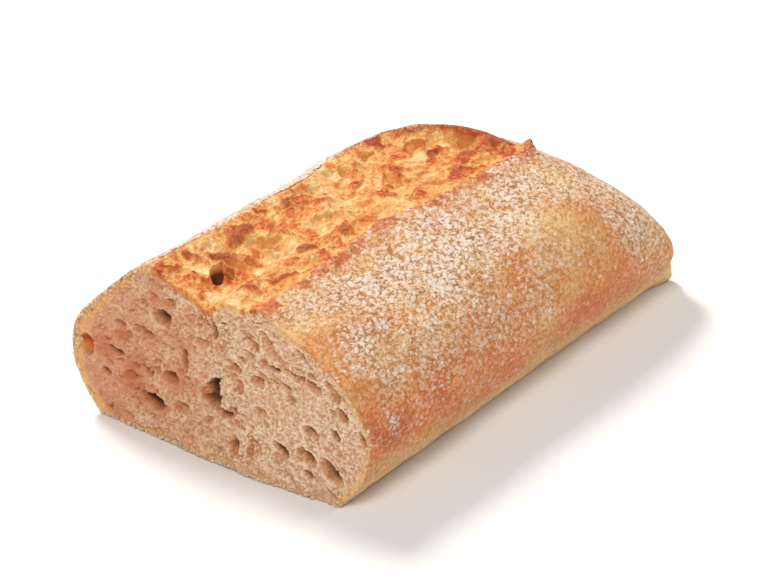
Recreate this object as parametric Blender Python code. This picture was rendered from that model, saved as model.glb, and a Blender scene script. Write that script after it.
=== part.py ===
"""Half of a ciabatta loaf, cut square across and lying on its flat baked base.

The loaf runs along Y. Its cut face looks to -Y and shows the open crumb, its blunt round
end is at +Y, and Z is up. A broad torn score runs along the top between two lips of crust.
Everything is one solid, modelled from the cut at Y = 0 and then centred over its base.
"""

import math
import random

import bmesh
import bpy
from mathutils import Euler, Matrix, Vector, noise

# Driving dimensions, in metres. X runs across the loaf and Y along it from the cut.
LENGTH = 0.2195
HALF_WIDTH = 0.0684
WIDEST_Z = 0.0265
CROWN_Z = 0.0662
BASE_HALF_WIDTH = 0.0558
DOME_POWER = 1.85
LEFT_SWELL_Y, LEFT_SWELL_REACH, LEFT_SWELL = 0.140, 0.045, 0.030

# The round end: how far before the tip the plan, the top and the underside start to close,
# and the low level that they close on. Its foot, up to FOOT_TOP, stays blunt and flares a little.
PLAN_CLOSE, PLAN_POWER = 0.020, 2.8
TOP_CLOSE, TOP_POWER = 0.080, 2.35
UNDER_CLOSE, UNDER_POWER = 0.0015, 2.0
TIP_Z = 0.008
FOOT_CLOSE, FOOT_POWER, FOOT_TOP = 0.003, 5.0, 0.030
FOOT_FLARE, FLARE_FROM, FLARE_TO = 0.0030, 0.200, 0.219

# The score: where its two lips run, how far they stand up and how its floor sags.
RIGHT_LIP_X = 0.0172
RIGHT_LIP_BENDS = ((0.0, 0.040, 0.0028), (0.080, 0.020, -0.0032), (0.138, 0.030, 0.0016))
LEFT_LIP_X = -0.0328
LEFT_LIP_BENDS = ((0.0, 0.030, 0.0014), (0.135, 0.030, -0.0045))
LIP_WANDER, LIP_WANDER_SIZE = 0.0009, 0.014
RIGHT_RISE, RIGHT_SPREAD = 0.0022, 0.0085
LEFT_RISE, LEFT_SPREAD = 0.0060, 0.0165
RISE_CHANGE, RIGHT_CHANGE_SIZE, LEFT_CHANGE_SIZE = 0.4, 0.030, 0.040
RIGHT_INNER_SPREAD, LEFT_INNER_SPREAD = 0.0045, 0.0080
LIP_STEP = 0.0009
VALLEY_X, VALLEY_SPREAD = -0.0062, 0.0085
VALLEY_AT_CUT, VALLEY_REACH, VALLEY_BEYOND = 0.0052, 0.034, 0.0014
SCORE_CLOSE_FROM, SCORE_FADE_FROM, SCORE_CLOSE_TO = 0.150, 0.162, 0.181
SCORE_CLOSED_X = 0.006
CRAG_HEIGHT, CRAG_ACROSS, CRAG_ALONG = 0.0042, 0.0085, 0.0135
RIDGE_SHARE, RIDGE_FINENESS = 0.6, 2.1
EAR_Y, EAR_RISE, EAR_SPREAD = 0.1750, 0.0034, 0.0042

# The crust swells and dips a little everywhere but on the base.
SWELL, SWELL_SIZE = 0.0011, 0.034
BASE_CLEAR = 0.006

# The cut face: the crease under the score, with the crumb left of it drawn back.
CREASE_TOP, CREASE_FOOT = Vector((-0.004, 0.057)), Vector((0.001, 0.026))
CREASE_BLUR_LEFT, CREASE_BLUR_RIGHT = 0.0050, 0.0015
DRAWN_BACK, DRAWN_FROM_Z, DRAWN_FROM_X = 0.0026, (0.004, 0.022), (-0.062, -0.030)
CRUMB_WAVE, CRUMB_WAVE_SIZE = 0.0007, 0.014
FOOT_FORWARD, FOOT_HEIGHT, FOOT_X, FOOT_SPREAD = 0.0038, 0.014, 0.012, 0.042
RELIEF_REACH = 0.020
CRUMB_RINGS = (0.94, 0.84, 0.72, 0.60, 0.48, 0.36, 0.24, 0.12)
CRUMB_LINE, CRUMB_LINE_Z = 0.55, 0.028

# How finely each stretch of the section and the length is divided.
BASE_STEPS, FLANK_STEPS, CRUST_STEPS, SCORE_STEPS = 18, 4, 12, 24
STRAIGHT_STEPS, END_STEPS = 36, 15
END_FROM = 0.060
LIP_GAP = 0.3  # how near the score's first points come to the lips, in steps
MERGE_DISTANCE = 1e-6
SHARP_ANGLE = math.radians(40.0)

# Where the noise is read for each thing that wanders along the loaf.
RIGHT_LIP_SEED, LEFT_LIP_SEED, RIGHT_RISE_SEED, LEFT_RISE_SEED, RIDGE_SEED = 3.1, 8.4, 1.7, 5.2, 4.0

# Holes: x, z, half-width, half-height, depth and lean in degrees, the finely made ones first.
TEARS = (
    (-0.0030, 0.0243, 0.0040, 0.0050, 0.0075, 20.0),
    (-0.0315, 0.0126, 0.0066, 0.0027, 0.0055, 8.0),
    (-0.0625, 0.0263, 0.0040, 0.0044, 0.0060, 0.0),
    (-0.0272, 0.0470, 0.0046, 0.0036, 0.0046, 0.0),
    (-0.0002, 0.0318, 0.0013, 0.0050, 0.0060, 15.0),
    (-0.0020, 0.0197, 0.0085, 0.0018, 0.0055, 4.0),
    (-0.0012, 0.0518, 0.0018, 0.0042, 0.0045, -8.0),
    (-0.0178, 0.0322, 0.0017, 0.0048, 0.0045, -6.0),
    (-0.0240, 0.0236, 0.0036, 0.0028, 0.0040, 14.0),
    (0.0298, 0.0138, 0.0036, 0.0022, 0.0055, 27.0),
    (0.0524, 0.0268, 0.0030, 0.0018, 0.0050, 32.0),
    (0.0648, 0.0279, 0.0014, 0.0042, 0.0050, -25.0),
    (-0.0486, 0.0280, 0.0032, 0.0015, 0.0042, 22.0),
    (0.0264, 0.0447, 0.0026, 0.0013, 0.0040, 8.0),
    (-0.0355, 0.0233, 0.0030, 0.0012, 0.0036, 30.0),
    (-0.0538, 0.0175, 0.0024, 0.0018, 0.0040, 10.0),
    (-0.0406, 0.0196, 0.0017, 0.0014, 0.0036, 0.0),
    (0.0147, 0.0522, 0.0024, 0.0011, 0.0028, 20.0),
    (0.0418, 0.0078, 0.0022, 0.0014, 0.0034, 30.0),
    (-0.0363, 0.0385, 0.0048, 0.0022, 0.0028, 12.0),
    (0.0405, 0.0146, 0.0052, 0.0026, 0.0040, 31.0),
    (0.0512, 0.0118, 0.0062, 0.0032, 0.0044, 35.0),
    (0.0560, 0.0355, 0.0042, 0.0024, 0.0036, 42.0),
    (0.0420, 0.0246, 0.0038, 0.0024, 0.0034, 30.0),
    (0.0091, 0.0080, 0.0026, 0.0044, 0.0040, 0.0),
)
# The deep holes in the floor of the score: x, y and half-width, half-length, depth.
SCORE_HOLES = (
    (-0.0040, 0.0330, 0.0028, 0.0021, 0.0070),
    (-0.0090, 0.0850, 0.0016, 0.0030, 0.0045),
    (-0.0190, 0.1560, 0.0016, 0.0028, 0.0045),
)
FINE_TEARS, FINE_DETAIL, PLAIN_DETAIL = 4, 2, 1
HOLE_LUMPS, HOLE_LUMP_FINENESS = 0.16, 1.3
BUBBLES, BUBBLE_SEED = 20, 12
BUBBLE_SIZE = (0.0013, 0.0026)
BUBBLE_DEPTH, BUBBLE_FLATNESS, BUBBLE_LEAN = 2.2, 0.8, 40.0
BUBBLE_RIM, BUBBLE_CLEAR = 0.0045, 0.0012

CRUST_COLOUR = (0.62, 0.36, 0.15, 1.0)
CRUST_ROUGHNESS = 0.72


def clear_scene():
    for old in list(bpy.data.objects):
        bpy.data.objects.remove(old, do_unlink=True)


def smooth_share(value, start, end):
    """0 before start, 1 after end, and a smooth rise between them."""
    share = min(max((value - start) / (end - start), 0.0), 1.0)
    return share * share * (3.0 - 2.0 * share)


def bump(distance, spread):
    return math.exp(-((distance / spread) ** 2))


def closing(y, reach, power):
    """1 along the loaf, then down to 0 at the tip on a rounded curve that long."""
    share = min(max((y - (LENGTH - reach)) / reach, 0.0), 1.0)
    return (1.0 - share**power) ** (1.0 / power)


def plan_share(y, z):
    """How wide the loaf still is near its tip, 1 to 0. Its foot stays wide the longest."""
    plain, blunt = closing(y, PLAN_CLOSE, PLAN_POWER), closing(y, FOOT_CLOSE, FOOT_POWER)
    return blunt + (plain - blunt) * smooth_share(z, 0.0, FOOT_TOP)


def base_half_width(y):
    return BASE_HALF_WIDTH + FOOT_FLARE * smooth_share(y, FLARE_FROM, FLARE_TO)


def bent(y, bends, seed):
    """The sideways shift of a lip: its broad bends, and a small wander."""
    broad = sum(shift * bump(y - middle, reach) for middle, reach, shift in bends)
    return broad + LIP_WANDER * noise.noise(Vector((y / LIP_WANDER_SIZE, seed, 0.0)))


def lips(y):
    """Where the right and the left lip of the score are, y along the loaf."""
    closed = smooth_share(y, SCORE_CLOSE_FROM, SCORE_CLOSE_TO)
    left = LEFT_LIP_X + bent(y, LEFT_LIP_BENDS, LEFT_LIP_SEED)
    right = RIGHT_LIP_X + bent(y, RIGHT_LIP_BENDS, RIGHT_LIP_SEED)
    return right, left + (SCORE_CLOSED_X - left) * closed


def dome(x):
    """Height of the plain loaf, without its score, over a point of its breadth."""
    share = min(abs(x) / HALF_WIDTH, 1.0) ** DOME_POWER
    return WIDEST_Z + (CROWN_Z - WIDEST_Z) * (1.0 - share) ** (1.0 / DOME_POWER)


def score_strength(y):
    """The score fades out where it closes, before the round end."""
    return 1.0 - smooth_share(y, SCORE_FADE_FROM, SCORE_CLOSE_TO)


def uneven(y, size, seed):
    """A number about 1 that drifts along the loaf."""
    return 1.0 + RISE_CHANGE * noise.noise(Vector((y / size, seed, 0.0)))


def right_rise(y):
    ear = EAR_RISE * bump(y - EAR_Y, EAR_SPREAD)
    return RIGHT_RISE * uneven(y, RIGHT_CHANGE_SIZE, RIGHT_RISE_SEED) * score_strength(y) + ear


def left_rise(y):
    return LEFT_RISE * uneven(y, LEFT_CHANGE_SIZE, LEFT_RISE_SEED) * score_strength(y)


def crust_height(side, x, lip, y):
    """Height of the crust on one side of the score, where it rises towards its lip."""
    if side > 0.0:
        return dome(x) + right_rise(y) * bump(x - lip, RIGHT_SPREAD)
    return dome(x) + left_rise(y) * bump(x - lip, LEFT_SPREAD)


def crags(x, y):
    """Torn crumb: coarse lumps drawn out along the loaf, with sharper ones on top."""
    spot = Vector((x / CRAG_ACROSS, y / CRAG_ALONG, 0.0))
    ridges = abs(noise.noise(RIDGE_FINENESS * spot + Vector((0.0, 0.0, RIDGE_SEED))))
    return CRAG_HEIGHT * (noise.noise(spot) - RIDGE_SHARE * ridges)


def score_height(x, y, share):
    """Height inside the score, share of the way from its right lip to its left one."""
    right, left = lips(y)
    risen = right_rise(y) * bump(x - right, RIGHT_INNER_SPREAD)
    risen += left_rise(y) * bump(x - left, LEFT_INNER_SPREAD)
    valley = VALLEY_BEYOND + VALLEY_AT_CUT * bump(y, VALLEY_REACH)
    sunk = valley * bump(x - VALLEY_X, VALLEY_SPREAD) + LIP_STEP
    torn = crags(x, y) * math.sin(math.pi * share) ** 0.5
    return dome(x) + risen + (torn - sunk) * score_strength(y)


def section_point(turn, y):
    """A point (x, z) of the full section; turn counts steps round from the base's left edge."""
    right, left = lips(y)
    if turn <= BASE_STEPS:
        return base_half_width(y) * (2.0 * turn / BASE_STEPS - 1.0), 0.0
    turn -= BASE_STEPS
    if turn <= FLANK_STEPS:
        return flank_point(1.0, turn / FLANK_STEPS, y)
    turn -= FLANK_STEPS
    if turn <= CRUST_STEPS:
        return crust_point(1.0, right, turn / CRUST_STEPS, y)
    turn -= CRUST_STEPS
    if turn <= SCORE_STEPS:
        share = (turn - 1.0 + LIP_GAP) / (SCORE_STEPS - 1.0 + 2.0 * LIP_GAP)
        x = right + (left - right) * share
        return x, score_height(x, y, share)
    turn -= SCORE_STEPS
    if turn <= CRUST_STEPS + 1:
        return crust_point(-1.0, left, 1.0 - (turn - 1) / CRUST_STEPS, y)
    turn -= CRUST_STEPS + 1
    return flank_point(-1.0, 1.0 - turn / FLANK_STEPS, y)


AROUND = BASE_STEPS + 2 * FLANK_STEPS + 2 * CRUST_STEPS + SCORE_STEPS + 1


def flank_point(side, share, y):
    """From the base's edge, share 0, out and up to the widest level, share 1."""
    tucked_in = (HALF_WIDTH - base_half_width(y)) * (1.0 - share) ** 2
    return side * (HALF_WIDTH - tucked_in), WIDEST_Z * share


def crust_point(side, lip, share, y):
    """From the widest level, share 0, up over the crust to the lip, share 1."""
    out = math.cos(share * math.pi / 2.0) ** (2.0 / DOME_POWER)
    x = lip + (side * HALF_WIDTH - lip) * out
    return x, crust_height(side, x, lip, y)


def stations():
    """Distances from the cut: even along the loaf, then closer and closer to the tip."""
    straight = LENGTH - END_FROM
    evenly = [straight * step / STRAIGHT_STEPS for step in range(STRAIGHT_STEPS)]
    quarter = math.pi / 2.0 / END_STEPS
    return evenly + [straight + END_FROM * math.sin(quarter * step) for step in range(END_STEPS + 1)]


def skin_point(turn, y):
    x, z = section_point(turn, y)
    if x < 0.0:
        x *= 1.0 + LEFT_SWELL * bump(y - LEFT_SWELL_Y, LEFT_SWELL_REACH)
    above = closing(y, TOP_CLOSE, TOP_POWER)
    below = closing(y, UNDER_CLOSE, UNDER_POWER)
    grown = above if z > TIP_Z else below
    return Vector((x * plan_share(y, z), y, TIP_Z + (z - TIP_Z) * grown))


def make_skin(bm):
    """Wraps a flat grid round the loaf, from the open cut to the closed tip."""
    along = stations()
    bmesh.ops.create_grid(bm, x_segments=AROUND, y_segments=len(along) - 1, size=0.5)
    for v in bm.verts:
        turn = round((v.co.x + 0.5) * AROUND)
        y = along[round((v.co.y + 0.5) * (len(along) - 1))]
        v.co = skin_point(turn, y)
    bmesh.ops.remove_doubles(bm, verts=bm.verts, dist=MERGE_DISTANCE)


def close_cut(bm):
    """Fills the open end with rings that flatten towards a level line in the crumb."""
    rim = [e for e in bm.edges if e.is_boundary]
    last_width, last_height = 1.0, 1.0
    for height in CRUMB_RINGS:
        width = 1.0 - (1.0 - CRUMB_LINE) * (1.0 - height)
        made = bmesh.ops.extrude_edge_only(bm, edges=rim)["geom"]
        for v in (v for v in made if isinstance(v, bmesh.types.BMVert)):
            v.co.x *= width / last_width
            v.co.z = CRUMB_LINE_Z + (v.co.z - CRUMB_LINE_Z) * height / last_height
        rim = [e for e in made if isinstance(e, bmesh.types.BMEdge) and e.is_boundary]
        last_width, last_height = width, height
    middle = bmesh.ops.contextual_create(bm, geom=rim)["faces"]
    bmesh.ops.triangulate(bm, faces=middle, quad_method="BEAUTY", ngon_method="BEAUTY")


def join_base(bm):
    """Makes one face of the flat base, which the loaf rests on."""
    flat = [f for f in bm.faces if all(v.co.z == 0.0 for v in f.verts)]
    bmesh.ops.dissolve_faces(bm, faces=flat, use_verts=True)


def swell_crust(bm):
    """Low, broad unevenness of the crust, none of it on the base or on the cut."""
    bm.normal_update()
    for v in bm.verts:
        if v.co.y < MERGE_DISTANCE:
            continue
        free = smooth_share(v.co.z, 0.0, BASE_CLEAR) * smooth_share(v.co.y, 0.0, RELIEF_REACH)
        v.co += v.normal * SWELL * free * noise.noise(v.co / SWELL_SIZE)


def crumb_relief(x, z):
    """How far the cut face stands back from the plane of the knife."""
    down = min(max((CREASE_TOP.y - z) / (CREASE_TOP.y - CREASE_FOOT.y), 0.0), 1.0)
    crease_x = CREASE_TOP.x + (CREASE_FOOT.x - CREASE_TOP.x) * down
    left = 1.0 - smooth_share(x, crease_x - CREASE_BLUR_LEFT, crease_x + CREASE_BLUR_RIGHT)
    fade = smooth_share(z, *DRAWN_FROM_Z) * smooth_share(x, *DRAWN_FROM_X)
    wave = 0.5 + 0.5 * noise.noise(Vector((x, 0.0, z)) / CRUMB_WAVE_SIZE)
    foot = FOOT_FORWARD * bump(z, FOOT_HEIGHT) * bump(x - FOOT_X, FOOT_SPREAD)
    return DRAWN_BACK * left * fade + 2.0 * CRUMB_WAVE * wave - foot


def shape_cut(bm):
    """Draws the face back by its relief, and the crust beside it with it."""
    for v in bm.verts:
        nearness = 1.0 - smooth_share(v.co.y, 0.0, RELIEF_REACH)
        v.co.y += crumb_relief(v.co.x, v.co.z) * nearness


def add_hole(holes, index, place, half_sizes, lean, detail):
    """One closed, slightly lumpy ellipsoid that the loaf is cut with."""
    bm = bmesh.new()
    bmesh.ops.create_icosphere(bm, subdivisions=detail, radius=1.0)
    for v in bm.verts:
        v.co *= 1.0 + HOLE_LUMPS * noise.noise(HOLE_LUMP_FINENESS * v.co + Vector((index, 0.0, 0.0)))
    turned = Euler((0.0, math.radians(lean), 0.0)).to_matrix().to_4x4()
    bm.transform(Matrix.Translation(place) @ turned @ Matrix.Diagonal((*half_sizes, 1.0)))
    mesh = bpy.data.meshes.new(f"hole_{index}")
    bm.to_mesh(mesh)
    bm.free()
    cutter = bpy.data.objects.new(mesh.name, mesh)
    cutter.hide_render = True
    cutter.display_type = "WIRE"
    holes.objects.link(cutter)


def bubble_places(taken):
    """Spots for the small bubbles, clear of the crust and of the larger holes."""
    draw = random.Random(BUBBLE_SEED)
    places = []
    while len(places) < BUBBLES:
        x, z = draw.uniform(-HALF_WIDTH, HALF_WIDTH), draw.uniform(0.0, CROWN_Z)
        size = draw.uniform(*BUBBLE_SIZE)
        edge = BUBBLE_RIM + size
        reach = HALF_WIDTH - edge
        if abs(x) > reach or z < edge or z > dome(x * HALF_WIDTH / reach) - edge - VALLEY_AT_CUT:
            continue
        if all(math.hypot(x - a, z - b) > size + r + BUBBLE_CLEAR for a, b, r in taken):
            places.append((x, z, size, draw.uniform(-BUBBLE_LEAN, BUBBLE_LEAN)))
            taken.append((x, z, size))
    return places


def make_holes():
    """All the cutters, in a collection that one Boolean takes away."""
    holes = bpy.data.collections.new("holes")
    bpy.context.scene.collection.children.link(holes)
    taken = []
    for index, (x, z, wide, high, deep, lean) in enumerate(TEARS):
        place = Vector((x, crumb_relief(x, z), z))
        detail = FINE_DETAIL if index < FINE_TEARS else PLAIN_DETAIL
        add_hole(holes, index, place, (wide, deep, high), lean, detail)
        taken.append((x, z, max(wide, high)))
    index = len(TEARS)
    for x, z, size, lean in bubble_places(taken):
        place = Vector((x, crumb_relief(x, z), z))
        half_sizes = (size, BUBBLE_DEPTH * size, BUBBLE_FLATNESS * size)
        add_hole(holes, index, place, half_sizes, lean, PLAIN_DETAIL)
        index += 1
    for x, y, wide, long, deep in SCORE_HOLES:
        right, left = lips(y)
        top = score_height(x, y, (right - x) / (right - left))
        add_hole(holes, index, Vector((x, y, top)), (wide, long, deep), 0.0, PLAIN_DETAIL)
        index += 1
    return holes


def crust_material():
    material = bpy.data.materials.new("crust")
    material.use_nodes = True
    shader = material.node_tree.nodes["Principled BSDF"]
    shader.inputs["Base Color"].default_value = CRUST_COLOUR
    shader.inputs["Roughness"].default_value = CRUST_ROUGHNESS
    shader.inputs["Metallic"].default_value = 0.0
    return material


def centre_over_base(mesh, holes):
    """Moves the loaf and its cutters so that the middle of its box is over the origin."""
    xs = [v.co.x for v in mesh.vertices]
    ys = [v.co.y for v in mesh.vertices]
    shift = Matrix.Translation((-(min(xs) + max(xs)) / 2.0, -(min(ys) + max(ys)) / 2.0, 0.0))
    mesh.transform(shift)
    for cutter in holes.objects:
        cutter.data.transform(shift)


def make_loaf():
    bm = bmesh.new()
    make_skin(bm)
    close_cut(bm)
    bmesh.ops.recalc_face_normals(bm, faces=bm.faces)
    swell_crust(bm)
    shape_cut(bm)
    join_base(bm)
    mesh = bpy.data.meshes.new("loaf")
    bm.to_mesh(mesh)
    bm.free()
    mesh.materials.append(crust_material())
    loaf = bpy.data.objects.new("loaf", mesh)
    bpy.context.scene.collection.objects.link(loaf)
    holes = make_holes()
    centre_over_base(mesh, holes)
    cut = loaf.modifiers.new("holes", "BOOLEAN")
    cut.operation = "DIFFERENCE"
    cut.operand_type = "COLLECTION"
    cut.collection = holes
    cut.solver = "EXACT"
    mesh.shade_smooth()
    mesh.set_sharp_from_angle(angle=SHARP_ANGLE)


clear_scene()
make_loaf()
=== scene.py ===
"""How a cut ciabatta looks: its floured crust, torn score and open crumb, over its solid.

The loaf is worked out in its own frame, in metres: X runs across it, Y along it from the
knife's cut to the round tip, and Z up from the base. Each finished sheet then moves with the
solid, whose box stands centred over the origin.
"""

import math
import random

import bmesh
import bpy
import numpy as np
from mathutils import Matrix, Vector, noise


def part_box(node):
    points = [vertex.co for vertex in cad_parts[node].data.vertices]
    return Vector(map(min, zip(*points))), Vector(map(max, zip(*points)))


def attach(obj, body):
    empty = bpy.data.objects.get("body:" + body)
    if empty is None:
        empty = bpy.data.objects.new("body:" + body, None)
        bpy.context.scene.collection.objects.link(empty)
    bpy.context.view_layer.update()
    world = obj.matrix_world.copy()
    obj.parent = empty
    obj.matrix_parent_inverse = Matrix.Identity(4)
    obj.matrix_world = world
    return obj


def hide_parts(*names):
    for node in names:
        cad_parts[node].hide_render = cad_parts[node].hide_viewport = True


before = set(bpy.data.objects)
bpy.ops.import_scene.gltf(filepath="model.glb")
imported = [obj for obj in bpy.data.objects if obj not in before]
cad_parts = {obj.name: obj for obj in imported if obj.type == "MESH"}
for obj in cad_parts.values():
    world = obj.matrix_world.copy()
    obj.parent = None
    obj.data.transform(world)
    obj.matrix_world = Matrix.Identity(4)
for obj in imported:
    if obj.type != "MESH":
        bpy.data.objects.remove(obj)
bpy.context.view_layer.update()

# ---------------------------------------------------------------- the loaf's form, as its solid has it
LENGTH = 0.2195
HALF_WIDTH = 0.0684
WIDEST_Z = 0.0265
CROWN_Z = 0.0662
BASE_HALF_WIDTH = 0.0558
DOME_POWER = 1.85
LEFT_SWELL_Y, LEFT_SWELL_REACH, LEFT_SWELL = 0.140, 0.045, 0.030

PLAN_CLOSE, PLAN_POWER = 0.020, 2.8
TOP_CLOSE, TOP_POWER = 0.080, 2.35
UNDER_CLOSE, UNDER_POWER = 0.0015, 2.0
TIP_Z = 0.008
FOOT_CLOSE, FOOT_POWER, FOOT_TOP = 0.003, 5.0, 0.030
FOOT_FLARE, FLARE_FROM, FLARE_TO = 0.0030, 0.200, 0.219

RIGHT_LIP_X = 0.0172
RIGHT_LIP_BENDS = ((0.0, 0.040, 0.0028), (0.080, 0.020, -0.0032), (0.138, 0.030, 0.0016))
LEFT_LIP_X = -0.0328
LEFT_LIP_BENDS = ((0.0, 0.030, 0.0014), (0.135, 0.030, -0.0045))
LIP_WANDER, LIP_WANDER_SIZE = 0.0009, 0.014
RIGHT_RISE, RIGHT_SPREAD = 0.0022, 0.0085
LEFT_RISE, LEFT_SPREAD = 0.0060, 0.0165
RISE_CHANGE, RIGHT_CHANGE_SIZE, LEFT_CHANGE_SIZE = 0.4, 0.030, 0.040
RIGHT_INNER_SPREAD, LEFT_INNER_SPREAD = 0.0045, 0.0080
LIP_STEP = 0.0009
VALLEY_X, VALLEY_SPREAD = -0.0062, 0.0085
VALLEY_AT_CUT, VALLEY_REACH, VALLEY_BEYOND = 0.0052, 0.034, 0.0014
SCORE_CLOSE_FROM, SCORE_FADE_FROM, SCORE_CLOSE_TO = 0.150, 0.162, 0.181
CRAG_HEIGHT, CRAG_ACROSS, CRAG_ALONG = 0.0042, 0.0085, 0.0135
RIDGE_SHARE, RIDGE_FINENESS = 0.6, 2.1
EAR_Y, EAR_RISE, EAR_SPREAD = 0.1750, 0.0034, 0.0042
EAR_POINT, EAR_POINT_ALONG, EAR_POINT_ACROSS = 0.0026, 0.0022, 0.0036
RIGHT_LIP_SEED, LEFT_LIP_SEED, RIGHT_RISE_SEED, LEFT_RISE_SEED, RIDGE_SEED = 3.1, 8.4, 1.7, 5.2, 4.0

SWELL, SWELL_SIZE = 0.0011, 0.034
BASE_CLEAR = 0.006

CREASE_TOP, CREASE_FOOT = (-0.004, 0.057), (0.001, 0.026)
CREASE_BLUR_LEFT, CREASE_BLUR_RIGHT = 0.0050, 0.0015
DRAWN_BACK, DRAWN_FROM_Z, DRAWN_FROM_X = 0.0026, (0.004, 0.022), (-0.062, -0.030)
CRUMB_WAVE, CRUMB_WAVE_SIZE = 0.0007, 0.014
FOOT_FORWARD, FOOT_HEIGHT, FOOT_X, FOOT_SPREAD = 0.0038, 0.014, 0.012, 0.042
RELIEF_REACH = 0.020

MM = 0.001
MERGE_DISTANCE = 1e-6
DEPTH_MARK = 4.0 * MM  # A hollow this deep is marked 1.

# How finely the sheets are divided.
COARSER = 1.0


def smooth_share(value, start, end):
    """0 before start, 1 after end, and a smooth rise between them."""
    share = np.clip((value - start) / (end - start), 0.0, 1.0)
    return share * share * (3.0 - 2.0 * share)


def bump(distance, spread):
    return np.exp(-((distance / spread) ** 2))


def noise_at(x, y, z=0.0):
    """Smooth noise, mostly between -0.5 and 0.5, at every one of these points."""
    x, y, z = np.broadcast_arrays(x, y, z)
    spots = np.stack([x, y, z], -1).reshape(-1, 3).tolist()
    return np.array([noise.noise(spot) for spot in spots]).reshape(x.shape)


def patches(x, y, z, across, along, seed=0.0):
    """Noise over the loaf, in patches this large across it and along it."""
    return noise_at(x / across, y / along, z / across + seed)


def sized_noise(x, y, kind):
    """Noise over a sheet, of a kind given as its size across and along and its seed."""
    across, along, seed = kind
    return noise_at(x / across, y / along, seed)


def from_ellipse(x, y, middle, half_sizes, turn):
    """Distance from the middle of a turned ellipse, 1 on its outline."""
    away_x, away_y = x - middle[0], y - middle[1]
    cosine, sine = math.cos(math.radians(turn)), math.sin(math.radians(turn))
    along = (away_x * cosine + away_y * sine) / half_sizes[0]
    across = (away_y * cosine - away_x * sine) / half_sizes[1]
    return np.sqrt(across**2 + along**2)


def closing(y, reach, power):
    """1 along the loaf, then down to 0 at the tip on a rounded curve that long."""
    share = np.clip((y - (LENGTH - reach)) / reach, 0.0, 1.0)
    return (1.0 - share**power) ** (1.0 / power)


def plan_share(y, z):
    """How wide the loaf still is near its tip, 1 to 0. Its foot stays wide the longest."""
    plain, blunt = closing(y, PLAN_CLOSE, PLAN_POWER), closing(y, FOOT_CLOSE, FOOT_POWER)
    return blunt + (plain - blunt) * smooth_share(z, 0.0, FOOT_TOP)


def base_half_width(y):
    return BASE_HALF_WIDTH + FOOT_FLARE * smooth_share(y, FLARE_FROM, FLARE_TO)


def bent(y, bends, seed):
    """The sideways shift of a lip: its broad bends, and a small wander."""
    broad = sum(shift * bump(y - middle, reach) for middle, reach, shift in bends)
    return broad + LIP_WANDER * noise_at(y / LIP_WANDER_SIZE, seed)


def lips(y):
    """Where the right and the left lip of the score run. They meet where it closes."""
    closed = smooth_share(y, SCORE_CLOSE_FROM, SCORE_CLOSE_TO)
    left = LEFT_LIP_X + bent(y, LEFT_LIP_BENDS, LEFT_LIP_SEED)
    right = RIGHT_LIP_X + bent(y, RIGHT_LIP_BENDS, RIGHT_LIP_SEED)
    return right, left + (right - left) * closed


def dome(x):
    """Height of the plain loaf, without its score, over a point of its breadth."""
    share = np.minimum(np.abs(x) / HALF_WIDTH, 1.0) ** DOME_POWER
    return WIDEST_Z + (CROWN_Z - WIDEST_Z) * (1.0 - share) ** (1.0 / DOME_POWER)


def score_strength(y):
    """The score fades out where it closes, before the round end."""
    return 1.0 - smooth_share(y, SCORE_FADE_FROM, SCORE_CLOSE_TO)


def uneven(y, size, seed):
    """A number about 1 that drifts along the loaf."""
    return 1.0 + RISE_CHANGE * noise_at(y / size, seed)


def right_rise(y):
    ear = EAR_RISE * bump(y - EAR_Y, EAR_SPREAD)
    return RIGHT_RISE * uneven(y, RIGHT_CHANGE_SIZE, RIGHT_RISE_SEED) * score_strength(y) + ear


def left_rise(y):
    return LEFT_RISE * uneven(y, LEFT_CHANGE_SIZE, LEFT_RISE_SEED) * score_strength(y)


def ear_point(from_lip, y):
    """The sharp end of the right lip, where the score closes."""
    return EAR_POINT * bump(y - EAR_Y, EAR_POINT_ALONG) * bump(from_lip, EAR_POINT_ACROSS)


def crust_height(side, x, lip, y):
    """Height of the crust on one side of the score, where it rises towards its lip."""
    if side > 0.0:
        return dome(x) + right_rise(y) * bump(x - lip, RIGHT_SPREAD) + ear_point(x - lip, y)
    return dome(x) + left_rise(y) * bump(x - lip, LEFT_SPREAD)


def crags(x, y):
    """Torn crumb: coarse lumps drawn out along the loaf, with sharper ones on top."""
    across, along = x / CRAG_ACROSS, y / CRAG_ALONG
    ridges = np.abs(noise_at(RIDGE_FINENESS * across, RIDGE_FINENESS * along, RIDGE_SEED))
    return CRAG_HEIGHT * (noise_at(across, along) - RIDGE_SHARE * ridges)


def left_swell(y):
    return 1.0 + LEFT_SWELL * bump(y - LEFT_SWELL_Y, LEFT_SWELL_REACH)


def closed_in(x, z, y):
    """Draws the straight section in towards the tip, and gives whole points."""
    x = np.where(x < 0.0, x * left_swell(y), x)
    above, below = closing(y, TOP_CLOSE, TOP_POWER), closing(y, UNDER_CLOSE, UNDER_POWER)
    grown = np.where(z > TIP_Z, above, below)
    x, z = x * plan_share(y, z), TIP_Z + (z - TIP_Z) * grown
    return np.stack([x, np.broadcast_to(y, x.shape), z], -1)


def left_of_crease(x, z):
    """How far a point of the cut lies left of the crease that runs down it."""
    down = np.clip((CREASE_TOP[1] - z) / (CREASE_TOP[1] - CREASE_FOOT[1]), 0.0, 1.0)
    return CREASE_TOP[0] + (CREASE_FOOT[0] - CREASE_TOP[0]) * down - x


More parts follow.
